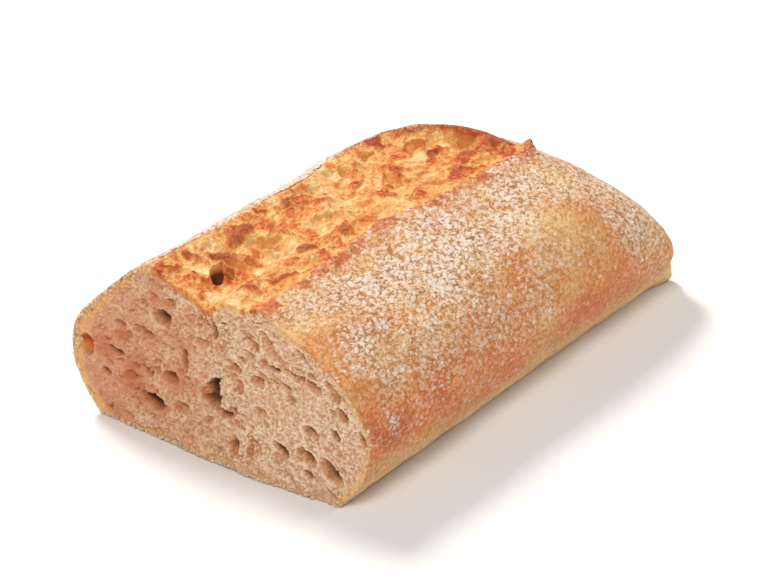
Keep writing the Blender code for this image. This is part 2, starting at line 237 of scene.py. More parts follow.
def crumb_relief(x, z):
    """How far the cut face stands back from the plane of the knife."""
    left = smooth_share(left_of_crease(x, z), -CREASE_BLUR_RIGHT, CREASE_BLUR_LEFT)
    fade = smooth_share(z, *DRAWN_FROM_Z) * smooth_share(x, *DRAWN_FROM_X)
    wave = 0.5 + 0.5 * noise_at(x / CRUMB_WAVE_SIZE, 0.0, z / CRUMB_WAVE_SIZE)
    foot = FOOT_FORWARD * bump(z, FOOT_HEIGHT) * bump(x - FOOT_X, FOOT_SPREAD)
    return DRAWN_BACK * left * fade + 2.0 * CRUMB_WAVE * wave - foot


def drawn_back(points):
    """The crust by the cut follows the cut face's relief."""
    nearness = 1.0 - smooth_share(points[..., 1], 0.0, RELIEF_REACH)
    points[..., 1] += crumb_relief(points[..., 0], points[..., 2]) * nearness
    return points


# ---------------------------------------------------------------- sheets of points, made meshes
def outward(points):
    """The unit normals of a sheet, given as rows and columns of points."""
    along, across = np.gradient(points, axis=(0, 1))
    normals = np.cross(across, along)
    length = np.linalg.norm(normals, axis=-1, keepdims=True)
    return normals / np.maximum(length, 1e-12)


def shift_across():
    """How far X = 0 of the loaf's own frame lies from the solid's: their flat bases are the same."""
    flat = [v.co.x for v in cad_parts["loaf"].data.vertices if v.co.z < MERGE_DISTANCE]
    y = np.linspace(0.0, LENGTH - UNDER_CLOSE, 400)
    right = base_half_width(y) * plan_share(y, 0.0)
    return (min(flat) + max(flat) - max(right) + max(right * left_swell(y))) / 2.0


LOAF_SHIFT = Vector((shift_across(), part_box("loaf")[1].y - LENGTH, 0.0))


def sheet_mesh(points, marks):
    """A bmesh grid laid over rows and columns of points, with a named number on each vertex."""
    rows, columns = points.shape[:2]
    bm = bmesh.new()
    layers = [bm.verts.layers.float.new(name) for name in marks]
    bmesh.ops.create_grid(bm, x_segments=columns - 1, y_segments=rows - 1, size=1.0)
    values = [np.broadcast_to(mark, (rows, columns)).ravel().tolist() for mark in marks.values()]
    for index, (v, place) in enumerate(zip(bm.verts, points.reshape(-1, 3).tolist())):
        v.co = place
        for layer, numbers in zip(layers, values):
            v[layer] = numbers[index]
    return bm


def with_rim(marks):
    """The marks of a sheet and of the two rows of its rim, which are marked as its first row."""
    return {name: np.concatenate([mark[:1], mark[:1], mark]) for name, mark in marks.items()}


def finish_piece(bm, name, material):
    """Moves a piece to where the solid stands, and has it stand for the solid there."""
    bmesh.ops.translate(bm, vec=LOAF_SHIFT, verts=bm.verts)
    mesh = bpy.data.meshes.new(name)
    bm.to_mesh(mesh)
    bm.free()
    mesh.shade_smooth()
    mesh.materials.append(material)
    piece = bpy.data.objects.new(name, mesh)
    bpy.context.scene.collection.objects.link(piece)
    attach(piece, "root")
    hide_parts("loaf")
    return piece


# ---------------------------------------------------------------- the crust
# The crust's broken edge dips into the tear: its profile, out and up from the lip, in units of its
# thickness. That, and how far the edge sticks out, are in mm for the right side (1) and the left (-1),
# which sticks out more from there on along the loaf. Its rags: how strong, how long, and a seed.
FOLD = ((-0.95, -3.0), (-0.70, -1.9), (-0.45, -0.95), (-0.20, -0.30))
FOLD_THICK = {1.0: 0.9, -1.0: 0.8}
LIP_RAGGED = {1.0: 1.5, -1.0: 0.3}
LEFT_MORE_RAGGED, LEFT_RAGGED_FROM = 0.9, (0.110, 0.135)
LIP_RAGS = ((1.3, 0.0042, 7.0), (0.9, 0.0016, 17.0))

# The crust's cut edge: its width and how that changes, more on the left flank and less by the base.
RIM_WIDTH, RIM_CHANGE, RIM_CHANGE_SIZE = 1.2 * MM, 0.6, 0.003
RIM_LEFT, RIM_LEFT_X, RIM_LEFT_Z = 0.9, (0.045, 0.062), (0.018, 0.030)
RIM_AT_BASE, RIM_BASE_Z = 0.32, (0.0, 0.006)
RIM_BACK, RIM_ROUGH, RIM_ROUGH_SIZE, RIM_DEPTH = 0.15 * MM, 0.35 * MM, 0.0016, 3.0 * MM

FLANK_COLUMNS, CRUST_COLUMNS, BASE_COLUMNS = 26, 104, 34
STRAIGHT_ROWS, END_ROWS, END_FROM = 230, 80, 0.060
TIP_PLAIN = 0.1 * MM
BLISTER, BLISTER_SIZE = 0.60 * MM, (0.009, 0.011)
WRINKLE, WRINKLE_SIZE = 0.30 * MM, (0.0032, 0.0032)

# The strip that lost its flour by the lips: how wide, in mm, how frayed, and where it shows on the left.
BARE_WIDTH, BARE_WIDER, BARE_LEAST = 0.8, 4.2, 0.30
BARE_PATCH, BARE_FRAY, BARE_FRAYED, BARE_LEVELS = 0.011, 0.003, 0.4, (-0.14, 0.20)
BARE_LEFT, BARE_LEFT_FROM, BARE_PAST_SCORE, BARE_ABOVE_Z = (0.2, 1.8), (0.118, 0.132), 0.006, 0.04

# Flour and baking over the whole crust. Their drifts: how strong, how large across and along, a seed.
FLOUR_USUAL, FLOUR_LOW, FLOUR_RISE_Z = 0.41, 0.04, (0.015, 0.052)
FLOUR_DRIFTS = ((0.24, 0.030, 0.034, 9.0), (0.30, 0.011, 0.014, 0.0))
TOAST_USUAL, TOAST_DRIFTS = 0.40, ((0.24, 0.026, 0.030, 3.0), (0.24, 0.010, 0.012, 5.0))
PALE_FOOT, PALE_FOOT_Z = 0.42, (0.005, 0.017)
BROWN_BASE, BROWN_BASE_Z = 0.42, (0.0, 0.0012)

# Places on the crust, in mm, how far they reach, and how much they change the flour or the baking.
FLOUR_SPOTS = (
    ((68, 146, 26), (15, 21, 13), -0.75),
    ((53, 151, 49), (14, 20, 11), -0.47),
    ((36, 2, 58), (17, 15, 13), -0.6),
    ((60, 2, 38), (16, 14, 18), -0.45),
    ((68.3, 14.8, 31.8), (5, 4.5, 4.5), 0.55),
    ((38, 100, 60), (20, 70, 14), 0.22),
    ((36, 195, 46), (26, 16, 22), 0.2),
    ((64, 184, 34), (13, 16, 13), 0.26),
    ((-40, 80, 62), (14, 75, 12), 0.45),
)
TOAST_SPOTS = (
    ((68, 149, 25), (14, 16, 10), 0.42),
    ((68, 131, 19), (12, 15, 9), 0.26),
    ((68, 6, 32), (14, 13, 13), 0.26),
    ((67, 45, 29), (12, 50, 12), 0.42),
    ((48, 2, 50), (20, 14, 14), 0.14),
    ((53, 151, 49), (15, 22, 11), -0.12),
    ((0, 215, 30), (40, 14, 22), 0.1),
    ((-66, 60, 24), (14, 30, 13), 0.34),
    ((-62, 150, 30), (14, 26, 14), 0.3),
)


def stations():
    """Distances from the cut: even along the loaf, then closer and closer to the tip."""
    straight = LENGTH - END_FROM
    evenly = np.linspace(0.0, straight, int(STRAIGHT_ROWS / COARSER), endpoint=False)
    quarter = np.linspace(0.0, math.pi / 2.0, int(END_ROWS / COARSER))
    return np.concatenate([evenly, straight + END_FROM * np.sin(quarter)])[:, None]


def lip_edge(side, y):
    """How far the broken edge of the crust sticks out over the score."""
    ragged = sum(strong * noise_at(y / size, seed + side) for strong, size, seed in LIP_RAGS)
    torn = LIP_RAGGED[side] + LEFT_MORE_RAGGED * (side < 0.0) * smooth_share(y, *LEFT_RAGGED_FROM)
    return side * -MM * torn * (0.4 + ragged) * score_strength(y)


def lip_fold(side, lip, y):
    """The crust's broken edge: from inside the tear, up to the lip."""
    thick = FOLD_THICK[side] * MM * score_strength(y)
    edge = lip + lip_edge(side, y)
    out, up = np.array(FOLD).T
    x = edge + side * thick * out
    z = crust_height(side, lip, lip, y) + thick * up
    return x, z


def crust_side(side, lip, y):
    """From the lip, down over the crust to the widest level."""
    share = np.linspace(1.0, 0.0, int(CRUST_COLUMNS / COARSER))
    out = np.cos(share * math.pi / 2.0) ** (2.0 / DOME_POWER)
    edge = lip + lip_edge(side, y)
    x = edge + (side * HALF_WIDTH - edge) * out
    return x, crust_height(side, x, lip, y)


def flank_side(side, y):
    """From the widest level down and in to the base's edge."""
    share = np.linspace(1.0, 0.0, int(FLANK_COLUMNS / COARSER) + 1)[1:]
    tucked_in = (HALF_WIDTH - base_half_width(y)) * (1.0 - share) ** 2
    x = side * (HALF_WIDTH - tucked_in)
    return x, WIDEST_Z * share + 0.0 * y


def base_span(y):
    x = base_half_width(y) * np.linspace(1.0, -1.0, int(BASE_COLUMNS / COARSER) + 1)[1:-1]
    return x, 0.0 * x


def crust_section(y):
    """x and z right round the crust: from one lip down, under the loaf and up to the other."""
    right, left = lips(y)
    spans = [lip_fold(1.0, right, y), crust_side(1.0, right, y), flank_side(1.0, y), base_span(y)]
    other = [flank_side(-1.0, y), crust_side(-1.0, left, y), lip_fold(-1.0, left, y)]
    spans += [(x[:, ::-1], z[:, ::-1]) for x, z in other]
    return tuple(np.concatenate(parts, axis=1) for parts in zip(*spans))


def crust_relief(points):
    """Swells as in the solid, then low blisters and the fine wrinkles of a floured skin."""
    x, y, z = points[..., 0], points[..., 1], points[..., 2]
    on_loaf = smooth_share(z, 0.0, BASE_CLEAR)
    broad = SWELL * patches(x, y, z, SWELL_SIZE, SWELL_SIZE)
    broad *= on_loaf * smooth_share(y, 0.0, RELIEF_REACH)
    blisters = BLISTER * patches(x, y, z, *BLISTER_SIZE)
    wrinkles = WRINKLE * patches(x, y, z, *WRINKLE_SIZE)
    return broad + (blisters + wrinkles) * smooth_share(z, 0.0, BASE_CLEAR / 2.0)


def spotted(x, y, z, spots):
    """The sum of soft spots, each round a place on the crust."""
    total = np.zeros(np.broadcast(x, y, z).shape)
    for place, reach, amount in spots:
        away = [((v / MM - middle) / size) ** 2 for v, middle, size in zip((x, y, z), place, reach)]
        total += amount * np.exp(-sum(away))
    return total


def drifting(x, y, z, kinds):
    """The sum of several kinds of patches over the loaf."""
    return sum(strong * patches(x, y, z, *kind) for strong, *kind in kinds)


def flour_amount(x, y, z):
    """How much flour lies on the crust, 0 to 1: most high up, least low down and by the cut."""
    high = FLOUR_LOW + (1.0 - FLOUR_LOW) * smooth_share(z, *FLOUR_RISE_Z)
    amount = (FLOUR_USUAL + drifting(x, y, z, FLOUR_DRIFTS)) * high
    return np.clip(amount + spotted(x, y, z, FLOUR_SPOTS), 0.0, 1.0)


def toast_amount(x, y, z):
    """How dark the crust is baked, 0 to 1: palest along the foot, darkest low on the flank."""
    amount = TOAST_USUAL + drifting(x, y, z, TOAST_DRIFTS) + spotted(x, y, z, TOAST_SPOTS)
    foot = PALE_FOOT * (1.0 - smooth_share(z, *PALE_FOOT_Z))
    under = BROWN_BASE * (1.0 - smooth_share(z, *BROWN_BASE_Z))
    return np.clip(amount - foot + under, 0.0, 1.0)


def inner_rim(points, columns_in_fold):
    """The cut edge of the crust: two rows inside the section, one level with the cut, one deeper."""
    edge = points[0]
    tangent = np.gradient(edge[:, [0, 2]], axis=0)
    inward = np.stack([tangent[:, 1], -tangent[:, 0]], -1)
    inward /= np.linalg.norm(inward, axis=-1, keepdims=True)
    x, z = edge[:, 0], edge[:, 2]
    width = RIM_WIDTH * (1.0 + RIM_CHANGE * patches(x, 0.0, z, RIM_CHANGE_SIZE, RIM_CHANGE_SIZE))
    width *= 1.0 + RIM_LEFT * smooth_share(-x, *RIM_LEFT_X) * smooth_share(z, *RIM_LEFT_Z)
    width *= RIM_AT_BASE + (1.0 - RIM_AT_BASE) * smooth_share(z, *RIM_BASE_Z)
    rim = edge.copy()
    rim[:, [0, 2]] += inward * width[:, None]
    rim[:columns_in_fold] = rim[columns_in_fold]
    rim[-columns_in_fold:] = rim[-columns_in_fold - 1]
    deep = rim.copy()
    rough = RIM_ROUGH * noise_at(rim[:, 0] / RIM_ROUGH_SIZE, 4.0, rim[:, 2] / RIM_ROUGH_SIZE)
    rim[:, 1] = crumb_relief(rim[:, 0], rim[:, 2]) + RIM_BACK + rough
    deep[:, 1] = rim[:, 1] + RIM_DEPTH
    return np.stack([deep, rim])


def bare_edge(x, y, z, right, left):
    """Where the crust lifted at the score and lost its flour: a jagged strip by the lips."""
    fray = BARE_FRAYED * noise_at(y / BARE_FRAY, x / BARE_FRAY, 72.0)
    patchy = smooth_share(noise_at(y / BARE_PATCH, 71.0) + fray, *BARE_LEVELS)
    width = BARE_WIDTH + BARE_WIDER * patchy
    by_right = 1.0 - smooth_share((x - right) / MM, 0.4 * width, width)
    by_left = 1.0 - smooth_share((left - x) / MM, *BARE_LEFT)
    by_left = by_left * smooth_share(y, *BARE_LEFT_FROM)
    strip = np.where(x > 0.5 * (right + left), by_right, by_left)
    strip = strip * (BARE_LEAST + (1.0 - BARE_LEAST) * patchy)
    return strip * score_strength(y - BARE_PAST_SCORE) * (z > BARE_ABOVE_Z)


def lips_joined(points, y):
    """Beyond the score the two sides of the crust are one skin: their edges meet half way."""
    beyond, fold = y > SCORE_CLOSE_TO - 2.0 * MM, len(FOLD)
    middle = (points[beyond, fold + 1] + points[beyond, -fold - 2]) / 2.0
    points[beyond, :fold + 1] = middle[:, None]
    points[beyond, -fold - 1:] = middle[:, None]
    return points


def make_crust(material):
    y = stations()
    x, z = crust_section(y)
    points = closed_in(x, z, y)
    places = tuple(np.moveaxis(points, -1, 0))
    flour, toast = flour_amount(*places), toast_amount(*places)
    bare = bare_edge(x, y, z, *lips(y))
    relief = crust_relief(points) * (1.0 - bump(LENGTH - y, TIP_PLAIN))
    points = lips_joined(drawn_back(points + outward(points) * relief[..., None]), y[:, 0])
    points[..., 2] = np.maximum(points[..., 2], 0.0)
    rim = inner_rim(points, len(FOLD))
    marks = with_rim({"flour": flour, "toast": toast, "bare": bare})
    marks["rim"] = np.concatenate([np.ones((2, x.shape[1])), np.zeros(x.shape)])
    bm = sheet_mesh(np.concatenate([rim, points]), marks)
    bmesh.ops.remove_doubles(bm, verts=bm.verts, dist=MERGE_DISTANCE)
    return finish_piece(bm, "crust", material)


# ---------------------------------------------------------------- the torn score
BAND_COLUMNS, BAND_ROWS = 186, 470
UNDER_LIP = 2.4 * MM
LIP_SINK = 0.35 * MM
MEET_LEFT, MEET_RIGHT = 4.0 * MM, 4.2 * MM
CALM_AT_CUT, CALM_REACH = 0.35, 0.006
RIM_DROP, BAND_RIM_DEPTH, BAND_RIM_DROP = 0.7 * MM, 1.2 * MM, 3.0 * MM

# Kinds of noise in the tear, each its size across and along and a seed: what pushes the outlines
# about, browned scraps, clouds of baking, and a coarse and a fine web of sharp crests and grains.
WARP, WARP_X, WARP_Y = 2.0 * MM, (0.005, 0.006, 20.0), (0.005, 0.006, 30.0)
SCRAPS, SCRAP_LEVELS, SCRAP_HEIGHT = (0.0075, 0.0100, 40.0), (0.10, 0.30), 0.6 * MM
BAKED_CLOUDS = (0.0130, 0.0170, 41.0)
COARSE_WEB, FINE_WEB, TORN_GRAINS = (0.0044, 0.0070, 11.0), (0.0019, 0.0027, 12.0), (0.0010, 0.0012, 13.0)
WEB_HEIGHTS, WEB_TOASTS = (0.44, 0.30, 0.24), (0.34, 0.26, 0.28)
CREST_SHARPNESS, CRAG_SHARE = 2.6, 0.55

# How toasted the tear is, 0 to 1, and how much more its scraps, its clouds and its places are. By the
# right lip this is evened out. The far left edge and the end are more toasted, and the middle less.
TORN_TOAST, SCRAP_TOAST, CLOUD_TOAST, PLACE_TOAST = 0.37, 0.32, 0.34, 0.85
EVENED, EVEN_TOAST, EVEN_MIDDLE, EVEN_CHANGE = 0.5, 0.46, 0.4, 0.4
FAR_LEFT_TOAST, FAR_LEFT_X, FAR_LEFT_Y = 0.26, (1.0 * MM, 5.5 * MM), (0.105, 0.140)
END_TOAST, END_TOAST_Y, MIDDLE_PALER, MIDDLE_Y, MIDDLE_REACH = 0.10, (0.125, 0.165), 0.05, 0.09, 0.030

# What the tear laid open or left standing: x, y, half-length, half-width, turn from across,
# height over the rest (a gas cell's is negative) and how much more it is toasted. Lengths are in mm.
# Where a hollow is toasted more, that darkening is in part painted shade in it.
TORN_PLACES = (
    (-13.8, 19.8, 5.8, 2.7, 118, -7, 0.6),
    (-12.2, 22.4, 3.4, 1.9, 40, -5, 0.5),
    (-13.2, 28.8, 4.8, 1.8, 30, -2, 0.1),
    (-13.5, 48.5, 8.4, 6.4, 40, -2.7, -0.22),
    (-8.5, 59.7, 2.7, 1.1, -13, -3.6, 0.25),
    (-9.5, 70, 4.6, 3.6, 36, -1.2, -0.34),
    (-7.3, 81.2, 4.3, 3.4, 36, -1.9, -0.12),
    (-11.2, 90.5, 5.2, 3.4, 36, -1, -0.4),
    (-25.3, 114.1, 4.6, 3.8, 36, -2.2, -0.06),
    (-19.8, 110.8, 4.8, 2.2, 36, -0.8, -0.42),
    (-7.5, 119.1, 4.8, 4, 36, -2.3, -0.1),
    (-8.2, 126.5, 1.9, 1.6, 0, -1, -0.5),
    (0.8, 112, 5, 2.6, 36, -0.8, -0.36),
    (-21.5, 101, 6.4, 3.2, 36, -0.9, -0.3),
    (-0.9, 32.2, 4.2, 2.6, 36, 0.7, -0.34),
    (-20, 151.1, 5.4, 3.4, 50, -2.6, 0.16),
    (-9, 149.1, 1.8, 1.2, 0, -2.2, 0.35),
    (-6.5, 166, 5, 2.4, 25, -1.4, 0.2),
    (-23, 9, 4.2, 3, 36, -0.8, -0.06),
    (-24.7, 21.6, 5, 2, 36, 0.9, 0.36),
    (-14.5, 32.5, 10.6, 2, 27, 2.6, 0.5),
    (-25, 46.5, 8.8, 2.1, 98, 2.2, 0.42),
    (-18.8, 59, 8.4, 2.2, -8, 2, 0.46),
    (2.4, 52.1, 4.8, 2.7, 30, 1.5, 0.66),
    (5.2, 39, 4, 1.8, 90, 0.8, 0.26),
    (9.6, 26.5, 5.2, 1.7, 33, 1.4, 0.58),
    (6.6, 14.8, 3.6, 1.3, 36, 0.8, 0.3),
    (-6, 8.6, 5, 3.4, 36, 1.8, -0.85),
    (4, 8, 4, 2, 36, 0.7, -0.2),
    (-19.9, 81.2, 3.4, 2.1, 36, 0.9, 0.4),
    (-26.2, 90.7, 4, 2.2, 40, 0.8, 0.34),
    (-28, 74, 6.4, 1.5, 80, 0.7, 0.26),
    (-4.8, 95.5, 3.4, 2.6, 36, 0.9, 0.4),
    (1.8, 87.8, 3.4, 1.8, 30, 0.7, 0.34),
    (5.7, 70.2, 3.2, 2.5, 36, 0.8, 0.4),
    (9, 79, 5, 2.4, 60, 0.6, 0.28),
    (4.6, 95, 5.6, 2.8, 70, 0.6, 0.22),
    (-31, 132.8, 4.6, 2.4, 70, 1, 0.4),
    (-2.2, 124.1, 3, 2.3, 60, 1, 0.5),
    (-1.6, 130.8, 3.4, 2, 36, 0.9, 0.48),
    (1.4, 152.5, 4.6, 1.9, 40, 1, 0.5),
    (5.9, 139.2, 3.6, 2.1, 36, 0.8, 0.36),
    (6.8, 125.2, 3.6, 1.7, 36, 0.6, 0.26),
    (5.6, 171, 7, 2.4, 60, 0.8, 0.4),
    (-12.1, 143.4, 3.6, 3, 30, 1.5, -0.72),
)

# Many more small cells, with the range of each of those numbers. Their half-width is a share of their
# half-length.
SMALL_CELLS, SMALL_CELL_SEED = 110, 5
SMALL_CELL_X, SMALL_CELL_Y = (-34.0, 16.0), (6.0, 172.0)
SMALL_CELL_LENGTHS, SMALL_CELL_SHARES, SMALL_CELL_TURNS = (1.0, 2.8), (0.45, 0.9), (0.0, 70.0)
SMALL_CELL_HEIGHTS, SMALL_CELL_TOASTS = (-1.3, -0.4), (-0.22, 0.0)

# Where a place fades out, in shares of its outline. Round a cell stands a low rim. Scraps are round on
# top and partly smooth, and what is smooth has this much less of the webs.
PLACE_EDGE, CELL_RIM, CELL_RIM_AT, CELL_RIM_SPREAD = (0.75, 1.15), 0.16, 1.12, 0.2
SCRAP_ROUNDNESS, SCRAP_SMOOTH, LESS_WEB = 0.7, 0.6, 0.75


def ridged(x, y, kind):
    """Noise whose crests are sharp, -0.5 to 0.5."""
    return 0.5 - np.minimum(np.abs(sized_noise(x, y, kind)) * CREST_SHARPNESS, 1.0)


def small_cells():
    """Seeded places for the many small cells of the torn band."""
    draw = random.Random(SMALL_CELL_SEED)
    for _ in range(SMALL_CELLS):
        long = draw.uniform(*SMALL_CELL_LENGTHS)
        place = draw.uniform(*SMALL_CELL_X), draw.uniform(*SMALL_CELL_Y)
        shape = long, long * draw.uniform(*SMALL_CELL_SHARES), draw.uniform(*SMALL_CELL_TURNS)
        yield *place, *shape, draw.uniform(*SMALL_CELL_HEIGHTS), draw.uniform(*SMALL_CELL_TOASTS)


def torn_relief(x, y):
    """Over the torn band: height, the share of smooth cell wall, the toasting and the cells' depth."""
    warped_x, warped_y = x + WARP * sized_noise(x, y, WARP_X), y + WARP * sized_noise(x, y, WARP_Y)
    scraps = smooth_share(sized_noise(warped_x, warped_y, SCRAPS), *SCRAP_LEVELS)
    height = CRAG_SHARE * crags(x, y) + SCRAP_HEIGHT * scraps
    toast = TORN_TOAST + SCRAP_TOAST * scraps + CLOUD_TOAST * sized_noise(x, y, BAKED_CLOUDS)
    smooth, hollow = np.zeros_like(height), np.zeros_like(height)
    for *middle, long, wide, turn, high, browner in (*small_cells(), *TORN_PLACES):
        distance = from_ellipse(warped_x / MM, warped_y / MM, middle, (long, wide), turn)
        inside = np.clip(1.0 - distance**2, 0.0, 1.0)
        covers = 1.0 - smooth_share(distance, *PLACE_EDGE)
        toast = toast + PLACE_TOAST * browner * covers
        if high < 0.0:
            hollow = np.maximum(hollow, -high * MM * np.sqrt(inside))
            height = height - CELL_RIM * high * MM * bump(distance - CELL_RIM_AT, CELL_RIM_SPREAD)
            smooth = np.maximum(smooth, covers)
        else:
            height = height + high * MM * inside**SCRAP_ROUNDNESS
            smooth = np.maximum(smooth, SCRAP_SMOOTH * covers)
    rough = 1.0 - LESS_WEB * smooth
    webs = [ridged(warped_x, warped_y, kind) for kind in (COARSE_WEB, FINE_WEB)]
    webs.append(sized_noise(x, y, TORN_GRAINS))
    height = height + MM * rough * sum(share * web for share, web in zip(WEB_HEIGHTS, webs))
    toast = toast + rough * sum(share * web for share, web in zip(WEB_TOASTS, webs))
    return height - hollow, smooth, toast, hollow


def band_floor(x, y, right, left):
    """Height of the score's floor before it tears: the loaf's top, its rising lips and its valley."""
    across = np.clip(right - left, 0.3 * MM, 6.0 * MM)
    risen = right_rise(y) * bump(x - right, RIGHT_INNER_SPREAD) + ear_point(x - right, y)
    risen = risen * smooth_share((x - left) / across, 0.0, 1.0)
    risen = risen + left_rise(y) * bump(x - left, LEFT_INNER_SPREAD)
    valley = VALLEY_BEYOND + VALLEY_AT_CUT * bump(y, VALLEY_REACH)
    return dome(x) + risen - valley * bump(x - VALLEY_X, VALLEY_SPREAD) * score_strength(y)


def torn_surface(x, y, right, left):
    """The band's height, which meets the crust under both lips, and its marks."""
    relief, smooth, toast, hollow = torn_relief(x, y)
    from_left = smooth_share(x - left, 0.0, MEET_LEFT)
    from_right = smooth_share(right - x, 0.0, MEET_RIGHT)
    free = from_left * from_right
    level = band_floor(x, y, right, left)
    sunk = LIP_SINK + (LIP_STEP - LIP_SINK) * free
    skin = crust_relief(np.stack([x, np.broadcast_to(y, x.shape), level], -1)) * (1.0 - free)
    far_left = (1.0 - smooth_share(x - left, *FAR_LEFT_X)) * smooth_share(y, *FAR_LEFT_Y)
    even = EVEN_TOAST + EVEN_CHANGE * (toast - EVEN_MIDDLE)
    toast = toast + (even - toast) * (1.0 - from_right) * EVENED + FAR_LEFT_TOAST * far_left
    toast = toast + END_TOAST * smooth_share(y, *END_TOAST_Y)
    toast = toast - MIDDLE_PALER * bump(y - MIDDLE_Y, MIDDLE_REACH)
    calm = CALM_AT_CUT + (1.0 - CALM_AT_CUT) * smooth_share(y, 0.0, CALM_REACH)
    height = level + skin + (relief * free * calm - sunk) * score_strength(y)
    return height, smooth * free, np.clip(toast, 0.0, 1.0), hollow * free / DEPTH_MARK


def make_torn_band(material):
    rows, columns = int(BAND_ROWS / COARSER), int(BAND_COLUMNS / COARSER)
    y = np.linspace(0.0, SCORE_CLOSE_TO, rows)[:, None]
    share = np.linspace(0.0, 1.0, columns)[None, :]
    right, left = lips(y)
    strength = score_strength(y)
    start, end = left - UNDER_LIP * strength, right + UNDER_LIP * strength
    x = start + (end - start) * share
    z, smooth, toast, sunk = torn_surface(x, y, right, left)
    points = drawn_back(closed_in(x, z, y))
    rim = points[0].copy()
    rim[:, 2] -= RIM_DROP
    deep = rim + (0.0, BAND_RIM_DEPTH, -BAND_RIM_DROP)
    # The sunk mark is a hollow's depth, which the material turns into painted shade.
    marks = with_rim({"toast": toast, "smooth": smooth, "sunk": sunk})
    bm = sheet_mesh(np.concatenate([deep[None], rim[None], points]), marks)
    bmesh.ops.remove_doubles(bm, verts=bm.verts, dist=MERGE_DISTANCE)
    return finish_piece(bm, "torn_band", material)


# ---------------------------------------------------------------- the crumb
CRUMB_CENTRE_Z = 0.030
CRUMB_CELL = 0.33 * MM
CRUMB_INSET = 0.7 * MM
CRUMB_BACK = 0.45 * MM
CRUMB_SWELL, SWELL_LEVEL, WEB_HEIGHT = 1.3 * MM, 0.3, 0.7 * MM
WEB_STRENGTH, WEB_DRIFT = 0.85, 0.9
CALMER_IN_CELLS, CELL_DEPTHS = 0.55, (0.2 * MM, 1.2 * MM)
LEFT_PART = (-5.0 * MM, 24.0 * MM)
CREASE_DEPTH, CREASE_EDGE, CREASE_FADE = 3.0 * MM, (-0.8 * MM, 1.2 * MM), 0.012
CREASE_STARTS_Z, CREASE_ENDS_Z = (0.012, 0.024), (0.046, 0.058)

# What pushes the outlines of its cells about: how far in mm, its size across and up, and a seed.
WAVES_X = ((0.75, 0.0036, 0.0036, 50.0), (0.22, 0.0012, 0.0012, 51.0))
WAVES_Z = ((0.75, 0.0036, 0.0036, 60.0), (0.22, 0.0012, 0.0012, 61.0))
# Kinds of noise in the crumb, each its size across and up and a seed.
SPONGE_WEB, SPONGE_THREADS, PORES = (0.0024, 0.0017, 75.0), (0.0012, 0.0009, 76.0), (0.0009, 0.0009, 77.0)
SPONGE_SHARES = (0.40, 0.22, 0.42)
SWELLS, WEB_DRIFTS, PAINTED_SHADE_CLOUDS = (0.0085, 0.0070, 74.0), (0.0110, 0.0080, 78.0), (0.012, 0.009, 79.0)
# Left of the crease: painted shade with a warm painted reflection in it, and a painted shadow round one
# place.
LEFT_PAINTED_SHADE, PAINTED_SHADOW, PAINTED_SHADOW_PLACE, PAINTED_SHADOW_REACH = 0.85, 0.7, (-0.040, 0.024), (0.022, 0.014)
# The warm rim of the crumb is wider on the left flank: distances from the crust count this much less.
LEFT_RIM, LEFT_RIM_X, LEFT_RIM_Z = 0.5, (0.040, 0.060), (0.016, 0.028)
# Gas cells of the cut: how many, the middle of their half-lengths in mm, how widely those spread,
# how flat they are at least and at most, how deep against their size, and how steep-walled (less is steeper).
GAS_CELLS = (
    (1000, 1.40, 0.42, (0.40, 0.75), (0.45, 1.15), 1.0),
    (90, 1.20, 0.35, (0.45, 0.80), (0.7, 1.3), 0.75),
    (2600, 0.46, 0.35, (0.55, 0.95), (0.6, 1.5), 0.75),
)
GAS_CELL_SEED, LARGEST_CELL, SMALLER_BY_CRUST = 21, 3.2, 0.35
# They lean by up to so many degrees from the slope of the crust above them, which counts less on the left.
GAS_CELL_LEAN, DOME_SLOPE, DOME_BELOW, LEFT_SLOPE = 16.0, 0.346, 0.010, 0.3
# How far round a cell the sheet is worked on, and the painted highlight on a cell's thin wall, full from this
# depth.
CELL_REACH, CELL_MARGIN = 1.4, 0.8 * MM
WALL_AT, WALL_SPREAD, FULL_WALL_DEPTH = 1.08, 0.2, 0.7 * MM
TEAR_STEEPNESS, DIMPLE_STEEPNESS = 0.45, 0.85

# The large holes of the cut: x, z, half-width, half-height and depth in mm, and lean in degrees.
TEARS = (
    (-3.6, 24.3, 4.6, 5.2, 7.5, 20),
    (-0.4, 31.8, 1.5, 5.4, 6, 15),
    (-1.6, 19.7, 9.2, 2.1, 5.5, 4),
    (-31.5, 12.6, 6.6, 2.7, 5.5, 8),
    (-62.5, 26.3, 4, 4.4, 6, 0),
    (-1.2, 51.8, 1.8, 4.2, 4.5, -8),
    (-17.8, 32.2, 1.7, 4.8, 4.5, -6),
    (-24, 23.6, 3.6, 2.8, 4, 14),
    (29.8, 13.8, 3.6, 2.2, 5.5, 27),
    (52.4, 26.8, 3, 1.8, 5, 32),
    (64.8, 27.9, 1.4, 4.2, 5, -25),
    (-48.6, 28, 3.2, 1.5, 4.2, 22),
    (26.4, 44.7, 2.6, 1.3, 4, 8),
    (-35.5, 23.3, 3, 1.2, 3.6, 30),
    (-53.8, 17.5, 2.4, 1.8, 4, 10),
    (-40.6, 19.6, 1.7, 1.4, 3.6, 0),
    (14.7, 52.2, 2.4, 1.1, 2.8, 20),
    (41.8, 7.8, 2.2, 1.4, 3.4, 30),
)

